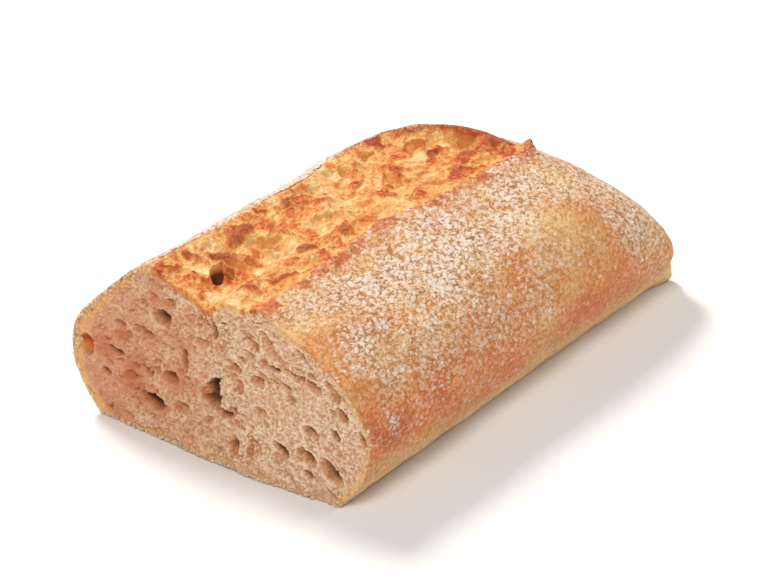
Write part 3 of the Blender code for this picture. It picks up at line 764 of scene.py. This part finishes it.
# Wide soft ones, given in the same way.
DIMPLES = (
    (-27.2, 47, 4.6, 3.6, 4.6, 0),
    (-36.3, 38.5, 4.8, 2.2, 2.8, 12),
    (-46.5, 34.5, 4.2, 2.2, 2.6, 6),
    (40.5, 14.6, 5.2, 2.6, 4, 31),
    (51.2, 11.8, 6.2, 3.2, 4.4, 35),
    (56, 35.5, 4.2, 2.4, 3.6, 42),
    (42, 24.6, 3.8, 2.4, 3.4, 30),
    (9.1, 8, 2.6, 4.4, 4, 0),
    (16.5, 9.2, 1.8, 3.6, 2.6, 0),
    (38.6, 53.5, 5, 1.3, 2.2, 36),
    (33.4, 45.5, 3.6, 1.6, 2.4, 14),
    (26.9, 50, 4.4, 1.5, 2.2, 14),
    (18.4, 37, 3.4, 2.4, 2.8, 10),
    (30.6, 38.8, 3.4, 2, 2.6, 14),
    (42.8, 43, 5, 2.4, 3, 28),
    (52, 44, 5.2, 1.7, 2.6, 42),
    (20, 25, 4, 2.2, 2.4, 10),
    (10, 33, 3, 2.4, 2.4, 20),
    (-10, 42, 3.4, 2, 2.4, 10),
    (-18, 14, 4.4, 2.2, 2.6, 10),
)


def cut_outline():
    """Directions round the crumb's middle, and how far the outline of the cut is in each."""
    start = np.zeros((1, 1))
    x, z = crust_section(start)
    folded = len(FOLD)
    x, z = x[0, folded:-folded], z[0, folded:-folded]
    right, left = lips(start)
    band_x = np.linspace(left, right, 80)[:, 0, 0]
    band_z = torn_surface(band_x[None, :], start, right, left)[0][0] - 0.4 * MM
    x, z = np.concatenate([x, band_x]), np.concatenate([z, band_z])
    angles = np.arctan2(z - CRUMB_CENTRE_Z, x)
    order = np.argsort(angles)
    return angles[order], np.hypot(x, z - CRUMB_CENTRE_Z)[order]


def gas_cells(outline):
    """Seeded gas cells over the cut: x, z, half-length, half-height, turn, depth and steepness.

    They lie flat along the crust above them, and those by the crust are the smallest.
    """
    draw = random.Random(GAS_CELL_SEED)
    for count, usual, spread, flatness, depths, steepness in GAS_CELLS:
        for _ in range(count):
            angle, out = draw.uniform(-math.pi, math.pi), math.sqrt(draw.random())
            reach = np.interp(angle, *outline, period=2.0 * math.pi) - 0.6 * MM
            x, z = out * reach * math.cos(angle), CRUMB_CENTRE_Z + out * reach * math.sin(angle)
            size = usual * draw.lognormvariate(0.0, spread) * (1.0 - SMALLER_BY_CRUST * out**5)
            long = min(size, LARGEST_CELL) * MM
            down = math.degrees(math.atan(DOME_SLOPE * x / (z + DOME_BELOW)))
            down *= 1.0 if x > 0.0 else LEFT_SLOPE
            high = long * draw.uniform(*flatness)
            turn = draw.uniform(-GAS_CELL_LEAN, GAS_CELL_LEAN) - down
            yield x, z, long, high, turn, math.sqrt(long * high) * draw.uniform(*depths), steepness


def known_cells():
    """The holes and dimples that the cut is known to have, given as the gas cells are."""
    for holes, steepness in ((TEARS, TEAR_STEEPNESS), (DIMPLES, DIMPLE_STEEPNESS)):
        for x, z, wide, high, depth, lean in holes:
            yield x * MM, z * MM, wide * MM, high * MM, -lean, depth * MM, steepness


def wavered(values, x, z, waves):
    """Coordinates pushed about a little, so that round outlines come out uneven."""
    return values + sum(far * sized_noise(x, z, kind) for far, *kind in waves) * MM


def open_crumb(x, z, outline):
    """How deep the gas cells and tears stand open, and a painted highlight on the thin wall edging them, 0 to
    1.
    """
    depth, wall_highlight = np.zeros(x.shape), np.zeros(x.shape)
    step_x, step_z = x[0, 1] - x[0, 0], z[1, 0] - z[0, 0]
    far_x, far_z = wavered(x, x, z, WAVES_X), wavered(z, x, z, WAVES_Z)
    for cell in (*gas_cells(outline), *known_cells()):
        reach = CELL_REACH * max(cell[2:4]) + CELL_MARGIN
        columns = [max(int((cell[0] + side * reach - x[0, 0]) / step_x), 0) for side in (-1.0, 1.0)]
        rows = [max(int((cell[1] + side * reach - z[0, 0]) / step_z), 0) for side in (-1.0, 1.0)]
        near = slice(*rows), slice(*columns)
        distance = from_ellipse(far_x[near], far_z[near], cell[:2], cell[2:4], cell[4])
        sunk = cell[5] * np.clip(1.0 - distance**2, 0.0, 1.0) ** cell[6]
        edge = bump(distance - WALL_AT, WALL_SPREAD) * min(1.0, cell[5] / FULL_WALL_DEPTH)
        wall_highlight[near] = np.where(sunk > depth[near], 0.0, np.maximum(wall_highlight[near], edge * (sunk <= 0.0)))
        depth[near] = np.maximum(depth[near], sunk)
    return depth, wall_highlight * (depth <= 0.0)


def crease_fold(x, z):
    """How much further the crumb falls back just left of the crease."""
    left = left_of_crease(x, z)
    beside = smooth_share(left, *CREASE_EDGE) * np.exp(-np.maximum(left, 0.0) / CREASE_FADE)
    middle = smooth_share(z, *CREASE_STARTS_Z) * (1.0 - smooth_share(z, *CREASE_ENDS_Z))
    return CREASE_DEPTH * beside * middle


def sponge(x, z):
    """The crumb between its cells: a web of thin walls round small pores, about -0.6 to 0.6."""
    parts = ridged(x, z, SPONGE_WEB), ridged(x, z, SPONGE_THREADS), sized_noise(x, z, PORES)
    return sum(share * part for share, part in zip(SPONGE_SHARES, parts))


def crumb_grid():
    """Rows and columns of x and z over the cut and a little beyond it."""
    cell = CRUMB_CELL * COARSER
    half, top = HALF_WIDTH + 2.0 * MM, CROWN_Z + 4.0 * MM
    columns, rows = int(2.0 * half / cell), int(top / cell)
    return np.meshgrid(np.linspace(-half, half, columns), np.linspace(0.0, top, rows))


def trimmed(x, z, outline):
    """The grid with what lies outside brought in to the outline, and how far the rest is inside, in mm."""
    angles, radii = np.arctan2(z - CRUMB_CENTRE_Z, x), np.hypot(x, z - CRUMB_CENTRE_Z)
    reach = np.interp(angles, *outline, period=2.0 * math.pi) - CRUMB_INSET
    outside = radii > reach
    x = np.where(outside, reach * np.cos(angles), x)
    z = np.where(outside, CRUMB_CENTRE_Z + reach * np.sin(angles), z)
    return x, z, outside, (reach - np.minimum(radii, reach)) / MM


def make_crumb(material):
    """The cut face: a fine grid trimmed to the outline of the cut, and sunk by its gas cells and tears."""
    outline = cut_outline()
    x, z = crumb_grid()
    depth, wall_highlight = open_crumb(x, z, outline)
    x, z, outside, from_rim = trimmed(x, z, outline)
    depth = depth * smooth_share(from_rim, -0.2, 1.0)
    left = smooth_share(left_of_crease(x, z), *LEFT_PART)
    away = [(v - middle, reach) for v, middle, reach in zip((x, z), PAINTED_SHADOW_PLACE, PAINTED_SHADOW_REACH)]
    painted_shadow = PAINTED_SHADOW * bump(*away[0]) * bump(*away[1])
    painted_shade = left * (LEFT_PAINTED_SHADE + painted_shadow + sized_noise(x, z, PAINTED_SHADE_CLOUDS))
    left_rim = 1.0 - LEFT_RIM * smooth_share(-x, *LEFT_RIM_X) * smooth_share(z, *LEFT_RIM_Z)
    web = sponge(x, z) * (WEB_STRENGTH + WEB_DRIFT * sized_noise(x, z, WEB_DRIFTS))
    plain = 1.0 - CALMER_IN_CELLS * smooth_share(depth, *CELL_DEPTHS)
    swells = CRUMB_SWELL * left * (sized_noise(x, z, SWELLS) + SWELL_LEVEL) - WEB_HEIGHT * web * plain
    inside = (swells + crease_fold(x, z)) * smooth_share(from_rim, 0.0, 1.5)
    points = np.stack([x, crumb_relief(x, z) + CRUMB_BACK + depth + inside, z], -1)
    # The left mark is painted shade left of the crease, with a painted shadow round one place.
    marks = {"depth": depth / DEPTH_MARK, "wall_highlight": wall_highlight, "web": 0.5 + 0.9 * web,
             "from_rim": from_rim / 10.0 * left_rim, "left": painted_shade}
    bm = sheet_mesh(points, marks)
    beyond = set(np.flatnonzero(outside).tolist())
    bm.verts.index_update()
    gone = [f for f in bm.faces if all(v.index in beyond for v in f.verts)]
    bmesh.ops.delete(bm, geom=gone, context="FACES")
    return finish_piece(bm, "crumb", material)


# Grains that still hang on the edge of the cut: how many, and the least and greatest of their sizes,
# whose power is their radius in mm. One in five may hang anywhere on it, and the others hang by the
# base. How far in they hang, how far they stray across and stand out, in mm, and their shapes.
HANGING_GRAINS, GRAIN_SEED, GRAIN_SIZES, GRAIN_POWER = 900, 33, (0.22, 0.80), 1.6
ONE_IN_HIGH, LOW_Z = 5, 0.002
GRAIN_INSET, GRAIN_STRAY, GRAIN_PROUD = (0.6, 1.8), (-1.0, 1.0), (-0.5, 0.6)
GRAIN_LUMPS, GRAIN_WIDE, GRAIN_HIGH = 0.9, (0.8, 1.7), (0.7, 1.2)
GRAIN_MARKS = {"web": 0.75, "from_rim": 0.28}


def make_grains(material):
    """Small grains of crumb that hang on the cut along the base, and a few up its two sides."""
    draw = random.Random(GRAIN_SEED)
    x_round, z_round = (values[0, len(FOLD):-len(FOLD)] for values in crust_section(np.zeros((1, 1))))
    low = np.flatnonzero(z_round < LOW_Z)
    bm = bmesh.new()
    for index in range(HANGING_GRAINS):
        if index % ONE_IN_HIGH:
            spot = int(low[0] + (low[-1] - low[0]) * draw.random())
        else:
            spot = draw.randrange(len(x_round))
        size = draw.uniform(*GRAIN_SIZES) ** GRAIN_POWER * MM
        inset = draw.uniform(*GRAIN_INSET) * MM
        toward = np.array([-x_round[spot], CRUMB_CENTRE_Z - z_round[spot]])
        toward /= np.linalg.norm(toward)
        x, z = x_round[spot] + toward[0] * inset, z_round[spot] + toward[1] * inset
        x += draw.uniform(*GRAIN_STRAY) * MM
        z = max(z, 0.8 * size)
        y = float(crumb_relief(np.array(x), np.array(z))) + draw.uniform(*GRAIN_PROUD) * MM
        grain = bmesh.ops.create_icosphere(bm, subdivisions=1, radius=size)["verts"]
        for v in grain:
            v.co *= 1.0 + GRAIN_LUMPS * noise.noise(v.co / size + Vector((index, 0.0, 0.0)))
        stretch = Vector((draw.uniform(*GRAIN_WIDE), 1.0, draw.uniform(*GRAIN_HIGH)))
        bmesh.ops.scale(bm, vec=stretch, verts=grain)
        turn = Matrix.Rotation(draw.uniform(0.0, math.pi), 3, "Y")
        bmesh.ops.rotate(bm, matrix=turn, verts=grain)
        bmesh.ops.translate(bm, vec=(x, y, z), verts=grain)
    marks = [(bm.verts.layers.float.new(name), value) for name, value in GRAIN_MARKS.items()]
    for v in bm.verts:
        v.co.z = max(v.co.z, 0.0)
        for layer, value in marks:
            v[layer] = value
    return finish_piece(bm, "hanging_grains", material)


# ---------------------------------------------------------------- materials
def linear(red, green, blue):
    """A colour given as a screen shows it, 0 to 255, as the shaders need it."""
    shares = [channel / 255.0 for channel in (red, green, blue)]
    return (*(s / 12.92 if s <= 0.04045 else ((s + 0.055) / 1.055) ** 2.4 for s in shares), 1.0)


def new_material(name):
    material = bpy.data.materials.new(name)
    material.use_nodes = True
    tree = material.node_tree
    return material, tree, tree.nodes["Principled BSDF"]


def add(tree, kind, settings=(), **inputs):
    """A node of this kind, with its settings, and a value or a link for each named input."""
    node = tree.nodes.new("ShaderNode" + kind)
    for name, value in dict(settings).items():
        setattr(node, name, value)
    for name, value in inputs.items():
        socket = node.inputs[int(name[1:])] if name[1:].isdigit() else node.inputs[name.replace("_", " ")]
        if isinstance(value, bpy.types.NodeSocket):
            tree.links.new(value, socket)
        else:
            socket.default_value = value
    return node


def mark(tree, name):
    """A number that the mesh carries on its vertices."""
    return add(tree, "Attribute", {"attribute_name": name}).outputs["Fac"]


def sum_of(tree, first, second, times=1.0):
    """first + second * times."""
    return add(tree, "Math", {"operation": "MULTIPLY_ADD"}, i0=second, i1=times, i2=first).outputs[0]


def product(tree, first, second):
    return add(tree, "Math", {"operation": "MULTIPLY"}, i0=first, i1=second).outputs[0]


def fit_range(tree, value, low, high):
    """value from low to high, smoothly brought to 0 to 1."""
    smooth = {"interpolation_type": "SMOOTHSTEP"}
    return add(tree, "MapRange", smooth, Value=value, From_Min=low, From_Max=high).outputs[0]


def mix(tree, share, first, second):
    return add(tree, "Mix", {"data_type": "RGBA"}, i0=share, i6=first, i7=second).outputs[2]


def noise_texture(tree, scale, detail=2.0, roughness=0.5, distortion=0.0, place=None):
    place = place or add(tree, "TexCoord").outputs["Object"]
    settings = {"Detail": detail, "Roughness": roughness, "Distortion": distortion}
    return add(tree, "TexNoise", (), Vector=place, Scale=scale, **settings).outputs["Fac"]


def ramp(tree, share, stops):
    """Colours along a share, each stop a place and a colour."""
    node = add(tree, "ValToRGB", (), Fac=share)
    bar = node.color_ramp
    while len(bar.elements) < len(stops):
        bar.elements.new(0.5)
    for element, (place, colour) in zip(bar.elements, stops):
        element.position = place
        element.color = colour
    return node.outputs["Color"]


def group(name, inputs, outputs):
    """An empty shader node group with these number inputs and these outputs."""
    tree = bpy.data.node_groups.new(name, "ShaderNodeTree")
    for title, value in inputs:
        tree.interface.new_socket(title, in_out="INPUT", socket_type="NodeSocketFloat").default_value = value
    for title in outputs:
        tree.interface.new_socket(title, in_out="OUTPUT", socket_type="NodeSocketFloat")
    return tree, tree.nodes.new("NodeGroupInput").outputs, tree.nodes.new("NodeGroupOutput").inputs


def use_group(tree, used, **inputs):
    return add(tree, "Group", {"node_tree": used}, **inputs).outputs


# The crack colour is painted shade in the crevices between the flour flakes.
FLOUR, CRACK_SHADE, LIFTED = linear(247, 233, 222), linear(146, 86, 46), linear(196, 104, 66)
RIM_BROWN, RIM_PALE = linear(244, 180, 112), linear(255, 230, 182)
# The torn shade and hole colours are painted shade in the torn band's hollows.
CELL_WALL, TORN_SHADE, TORN_HOLE_SHADE = linear(240, 184, 112), linear(238, 156, 80), linear(132, 62, 30)
CRUMB_BROWN, CRUMB_PALE, CRUMB_CLOUD = linear(196, 136, 92), linear(251, 227, 197), linear(202, 139, 96)
# The inner colours are painted shade inside the crumb's cells, and the thin wall colour is a painted
# highlight.
CELL_SHADE_BROWN, CELL_SHADE_PALE, WALL_HIGHLIGHT = linear(174, 112, 71), linear(224, 166, 115), linear(255, 230, 200)
# The left shade colour is painted shade, with a warm painted reflection, left of the crease.
LEFT_SHADE, BY_RIM = linear(204, 124, 82), linear(255, 192, 116)
# The hole colours are painted shade deep in the crumb's holes.
DEEP_HOLE_SHADE, RIM_HOLE_SHADE = linear(98, 46, 26), linear(222, 120, 66)
# Baking, from 0 to 1, and its colours.
CRUST_STOPS = (
    (0.00, linear(246, 204, 146)),
    (0.28, linear(235, 181, 117)),
    (0.50, linear(225, 153, 88)),
    (0.72, linear(226, 128, 64)),
    (1.00, linear(202, 102, 50)),
)
TORN_STOPS = (
    (0.00, linear(255, 224, 170)),
    (0.09, linear(255, 212, 148)),
    (0.22, linear(253, 203, 130)),
    (0.42, linear(241, 176, 98)),
    (0.62, linear(230, 136, 68)),
    (0.82, linear(214, 98, 46)),
    (1.00, linear(172, 72, 36)),
)


# How many to the metre there are of the flour's lumps, clumps, flakes and their stirring, and how strong
# the stirring is, in metres. The flakes lie a little drawn out along the loaf.
FLOUR_LUMPS, FLOUR_CLUMPS, FLAKES, STIRS, STIRRED = 620.0, 230.0, 520.0, 450.0, 0.003
DRAWN_OUT = (1.0, 0.72, 1.0)


def flour_group():
    """Flour baked on in crumbling flakes: masks of them, of their haze and of the cracks, painted darker as
    shade, and height.
    """
    tree, given, out = group("flour", [("Amount", 0.5)], ["Mask", "Haze", "CrackShade", "Height"])
    place = add(tree, "TexCoord").outputs["Object"]
    place = add(tree, "VectorMath", {"operation": "MULTIPLY"}, i0=place, i1=DRAWN_OUT).outputs[0]
    stirred = add(tree, "TexNoise", (), Vector=place, Scale=STIRS, Detail=2.0).outputs["Color"]
    stirred = add(tree, "VectorMath", {"operation": "MULTIPLY_ADD"}, i0=stirred, i1=(STIRRED,) * 3, i2=place)
    gaps = add(tree, "TexVoronoi", {"feature": "DISTANCE_TO_EDGE"}, Vector=stirred.outputs[0], Scale=FLAKES)
    flakes = fit_range(tree, gaps.outputs["Distance"], 0.0, 0.30)
    lumps = noise_texture(tree, FLOUR_LUMPS, 4.0, 0.68, distortion=0.4, place=place)
    lumps = sum_of(tree, lumps, flakes, 0.14)
    clumps = noise_texture(tree, FLOUR_CLUMPS, 2.0, 0.6)
    level = sum_of(tree, sum_of(tree, lumps, clumps, 0.26), given["Amount"], 0.24)
    mask = fit_range(tree, level, 0.79, 0.93)
    tree.links.new(mask, out["Mask"])
    tree.links.new(fit_range(tree, level, 0.66, 0.94), out["Haze"])
    tree.links.new(fit_range(tree, lumps, 0.57, 0.44), out["CrackShade"])
    tree.links.new(sum_of(tree, lumps, mask, 0.12), out["Height"])
    return tree


def grain_group():
    """Torn crumb's grain: fine pores and fibres, as a number 0 to 1 for colour and height."""
    tree, given, out = group("crumb_grain", [("Scale", 900.0)], ["Value"])
    fine = noise_texture(tree, given["Scale"], 4.0, 0.65, distortion=0.3)
    tree.links.new(fit_range(tree, fine, 0.3, 0.7), out["Value"])
    return tree


def dress(tree, shader, colour, height, bumps, specular, roughness=0.5):
    """Joins a material's colour and its bumps, so strong and so high, to its shader."""
    tree.links.new(colour, shader.inputs["Base Color"])
    bumped = add(tree, "Bump", (), Strength=bumps[0], Distance=bumps[1], Height=height)
    tree.links.new(bumped.outputs[0], shader.inputs["Normal"])
    shader.inputs["Specular IOR Level"].default_value = specular
    shader.inputs["Roughness"].default_value = roughness


def let_light_in(shader, weight, reach):
    """Light goes into the crumb and comes out this far off, in metres for red, green and blue."""
    shader.inputs["Subsurface Weight"].default_value = weight
    shader.inputs["Subsurface Radius"].default_value = reach
    shader.inputs["Subsurface Scale"].default_value = 1.0


def crust_material(flour, grain):
    material, tree, shader = new_material("crust")
    bare, rim = mark(tree, "bare"), mark(tree, "rim")
    speckle = noise_texture(tree, 520.0, 4.0, 0.65)
    toast = sum_of(tree, sum_of(tree, mark(tree, "toast"), bare, 0.34), speckle, 0.9)
    baked = ramp(tree, sum_of(tree, -0.45, toast), CRUST_STOPS)
    baked = mix(tree, product(tree, bare, 0.70), baked, LIFTED)
    fine = use_group(tree, grain, Scale=900.0)["Value"]
    baked = mix(tree, rim, baked, mix(tree, fine, RIM_BROWN, RIM_PALE))
    amount = sum_of(tree, sum_of(tree, mark(tree, "flour"), bare, -0.45), rim, -1.0)
    dust = use_group(tree, flour, Amount=amount)
    # The cracks between the flour flakes are painted darker than the crust: painted shade.
    crack_shade = product(tree, dust["CrackShade"], sum_of(tree, 0.38, mark(tree, "flour"), 0.55))
    baked = mix(tree, crack_shade, baked, CRACK_SHADE)
    covered = sum_of(tree, product(tree, dust["Mask"], 0.42), dust["Haze"], 0.36)
    height = sum_of(tree, dust["Height"], noise_texture(tree, 1700.0, 2.0, 0.6), 0.3)
    dress(tree, shader, mix(tree, covered, baked, FLOUR), height, (1.0, 0.0010), 0.3)
    roughness = add(tree, "MapRange", (), Value=dust["Mask"], To_Min=0.50, To_Max=0.9).outputs[0]
    tree.links.new(roughness, shader.inputs["Roughness"])
    return material


def torn_material(grain):
    material, tree, shader = new_material("torn crumb")
    fine = use_group(tree, grain, Scale=850.0)["Value"]
    speckle = noise_texture(tree, 330.0, 4.0, 0.65)
    toast = sum_of(tree, sum_of(tree, mark(tree, "toast"), fine, 0.16), speckle, 0.7)
    colour = ramp(tree, sum_of(tree, -0.42, toast), TORN_STOPS)
    colour = mix(tree, product(tree, mark(tree, "smooth"), 0.30), colour, CELL_WALL)
    # The band's hollows are painted warmer, then dark brown, with their depth: painted shade.
    in_shade = fit_range(tree, mark(tree, "sunk"), 0.04, 0.42)
    colour = mix(tree, product(tree, in_shade, 0.70), colour, TORN_SHADE)
    colour = mix(tree, fit_range(tree, mark(tree, "sunk"), 0.42, 0.90), colour, TORN_HOLE_SHADE)
    dress(tree, shader, colour, fine, (0.9, 0.0006), 0.35, 0.5)
    let_light_in(shader, 0.14, (0.0020, 0.0016, 0.0010))
    return material


def crumb_material(grain):
    material, tree, shader = new_material("crumb")
    fine = use_group(tree, grain, Scale=900.0)["Value"]
    texture = sum_of(tree, product(tree, mark(tree, "web"), 0.65), fine, 0.35)
    texture = fit_range(tree, texture, 0.18, 0.84)
    pale = mix(tree, texture, CRUMB_BROWN, CRUMB_PALE)
    clouds = fit_range(tree, noise_texture(tree, 230.0, 3.0, 0.6), 0.40, 0.68)
    pale = mix(tree, product(tree, clouds, 0.42), pale, CRUMB_CLOUD)
    # Inside the cells the crumb is painted darker with their depth: painted shade.
    cell_shade = mix(tree, texture, CELL_SHADE_BROWN, CELL_SHADE_PALE)
    cell_shade_share = fit_range(tree, mark(tree, "depth"), 0.0, 0.65)
    colour = mix(tree, cell_shade_share, pale, cell_shade)
    # The thin walls round the cells are painted paler: a painted highlight.
    colour = mix(tree, product(tree, mark(tree, "wall_highlight"), 0.5), colour, WALL_HIGHLIGHT)
    # Left of the crease: painted shade with a warm painted reflection, and a painted shadow round one place.
    colour = mix(tree, product(tree, mark(tree, "left"), 0.48), colour, LEFT_SHADE)
    edge = sum_of(tree, 1.0, fit_range(tree, mark(tree, "from_rim"), 0.0, 0.36), -1.0)
    colour = mix(tree, product(tree, edge, 0.80), colour, BY_RIM)
    # The deepest holes are painted dark brown, warmer by the crust: painted shade.
    by_crust = sum_of(tree, 1.0, fit_range(tree, mark(tree, "from_rim"), 0.4, 0.85), -1.0)
    deep = fit_range(tree, mark(tree, "depth"), 0.46, 1.25)
    colour = mix(tree, deep, colour, mix(tree, by_crust, DEEP_HOLE_SHADE, RIM_HOLE_SHADE))
    dress(tree, shader, colour, fine, (0.6, 0.0005), 0.3, 0.6)
    let_light_in(shader, 0.34, (0.0030, 0.0020, 0.0012))
    return material


# ---------------------------------------------------------------- the photographer's set
CAMERA_PLACE = Vector((0.5496, -0.6522, 0.5059))
CAMERA_LENS, CAMERA_ZOOM = 73.1, 1.75
AIM = Vector((0.004, 0.098, 0.029))
LIGHT_AIM = Vector((0.0, 0.0, 0.03))
FLOOR_SIZE, FLOOR_GAP = 6.0, 0.0002


def make_floor():
    bm = bmesh.new()
    bmesh.ops.create_grid(bm, x_segments=1, y_segments=1, size=FLOOR_SIZE)
    mesh = bpy.data.meshes.new("floor")
    bm.to_mesh(mesh)
    bm.free()
    material, _, shader = new_material("pale floor")
    shader.inputs["Base Color"].default_value = (0.86, 0.86, 0.86, 1.0)
    shader.inputs["Roughness"].default_value = 0.8
    mesh.materials.append(material)
    floor = bpy.data.objects.new("floor", mesh)
    floor.location.z = -FLOOR_GAP
    bpy.context.scene.collection.objects.link(floor)


def add_area_light(name, place, size, power, colour):
    light = bpy.data.lights.new(name, "AREA")
    light.shape = "DISK"
    light.size = size
    light.energy = power
    light.color = colour
    lamp = bpy.data.objects.new(name, light)
    lamp.location = place
    lamp.rotation_euler = (LIGHT_AIM - Vector(place)).to_track_quat("-Z", "Y").to_euler()
    bpy.context.scene.collection.objects.link(lamp)


def light_set():
    world = bpy.data.worlds.new("studio")
    world.use_nodes = True
    backdrop = world.node_tree.nodes["Background"]
    backdrop.inputs["Color"].default_value = (1.0, 0.975, 0.94, 1.0)
    backdrop.inputs["Strength"].default_value = 0.30
    bpy.context.scene.world = world
    add_area_light("key", (-0.9, 0.25, 1.1), 0.45, 19.5, (1.0, 0.98, 0.95))
    add_area_light("front fill", (0.42, -1.0, 1.15), 0.55, 12.2, (1.0, 0.99, 0.97))
    add_area_light("side fill", (0.62, 0.64, 0.46), 0.55, 2.2, (1.0, 0.96, 0.89))
    bpy.context.scene.view_settings.view_transform = "Standard"


def make_camera():
    data = bpy.data.cameras.new("camera")
    data.lens = CAMERA_LENS * CAMERA_ZOOM
    data.sensor_width = 36.0
    data.clip_end = 20.0
    camera = bpy.data.objects.new("camera", data)
    camera.location = CAMERA_PLACE + LOAF_SHIFT
    camera.rotation_euler = (AIM - CAMERA_PLACE).to_track_quat("-Z", "Y").to_euler()
    bpy.context.scene.collection.objects.link(camera)
    bpy.context.scene.camera = camera


flour, grain = flour_group(), grain_group()
crumb_look = crumb_material(grain)
make_crust(crust_material(flour, grain))
make_torn_band(torn_material(grain))
make_crumb(crumb_look)
make_grains(crumb_look)
make_floor()
light_set()
make_camera()
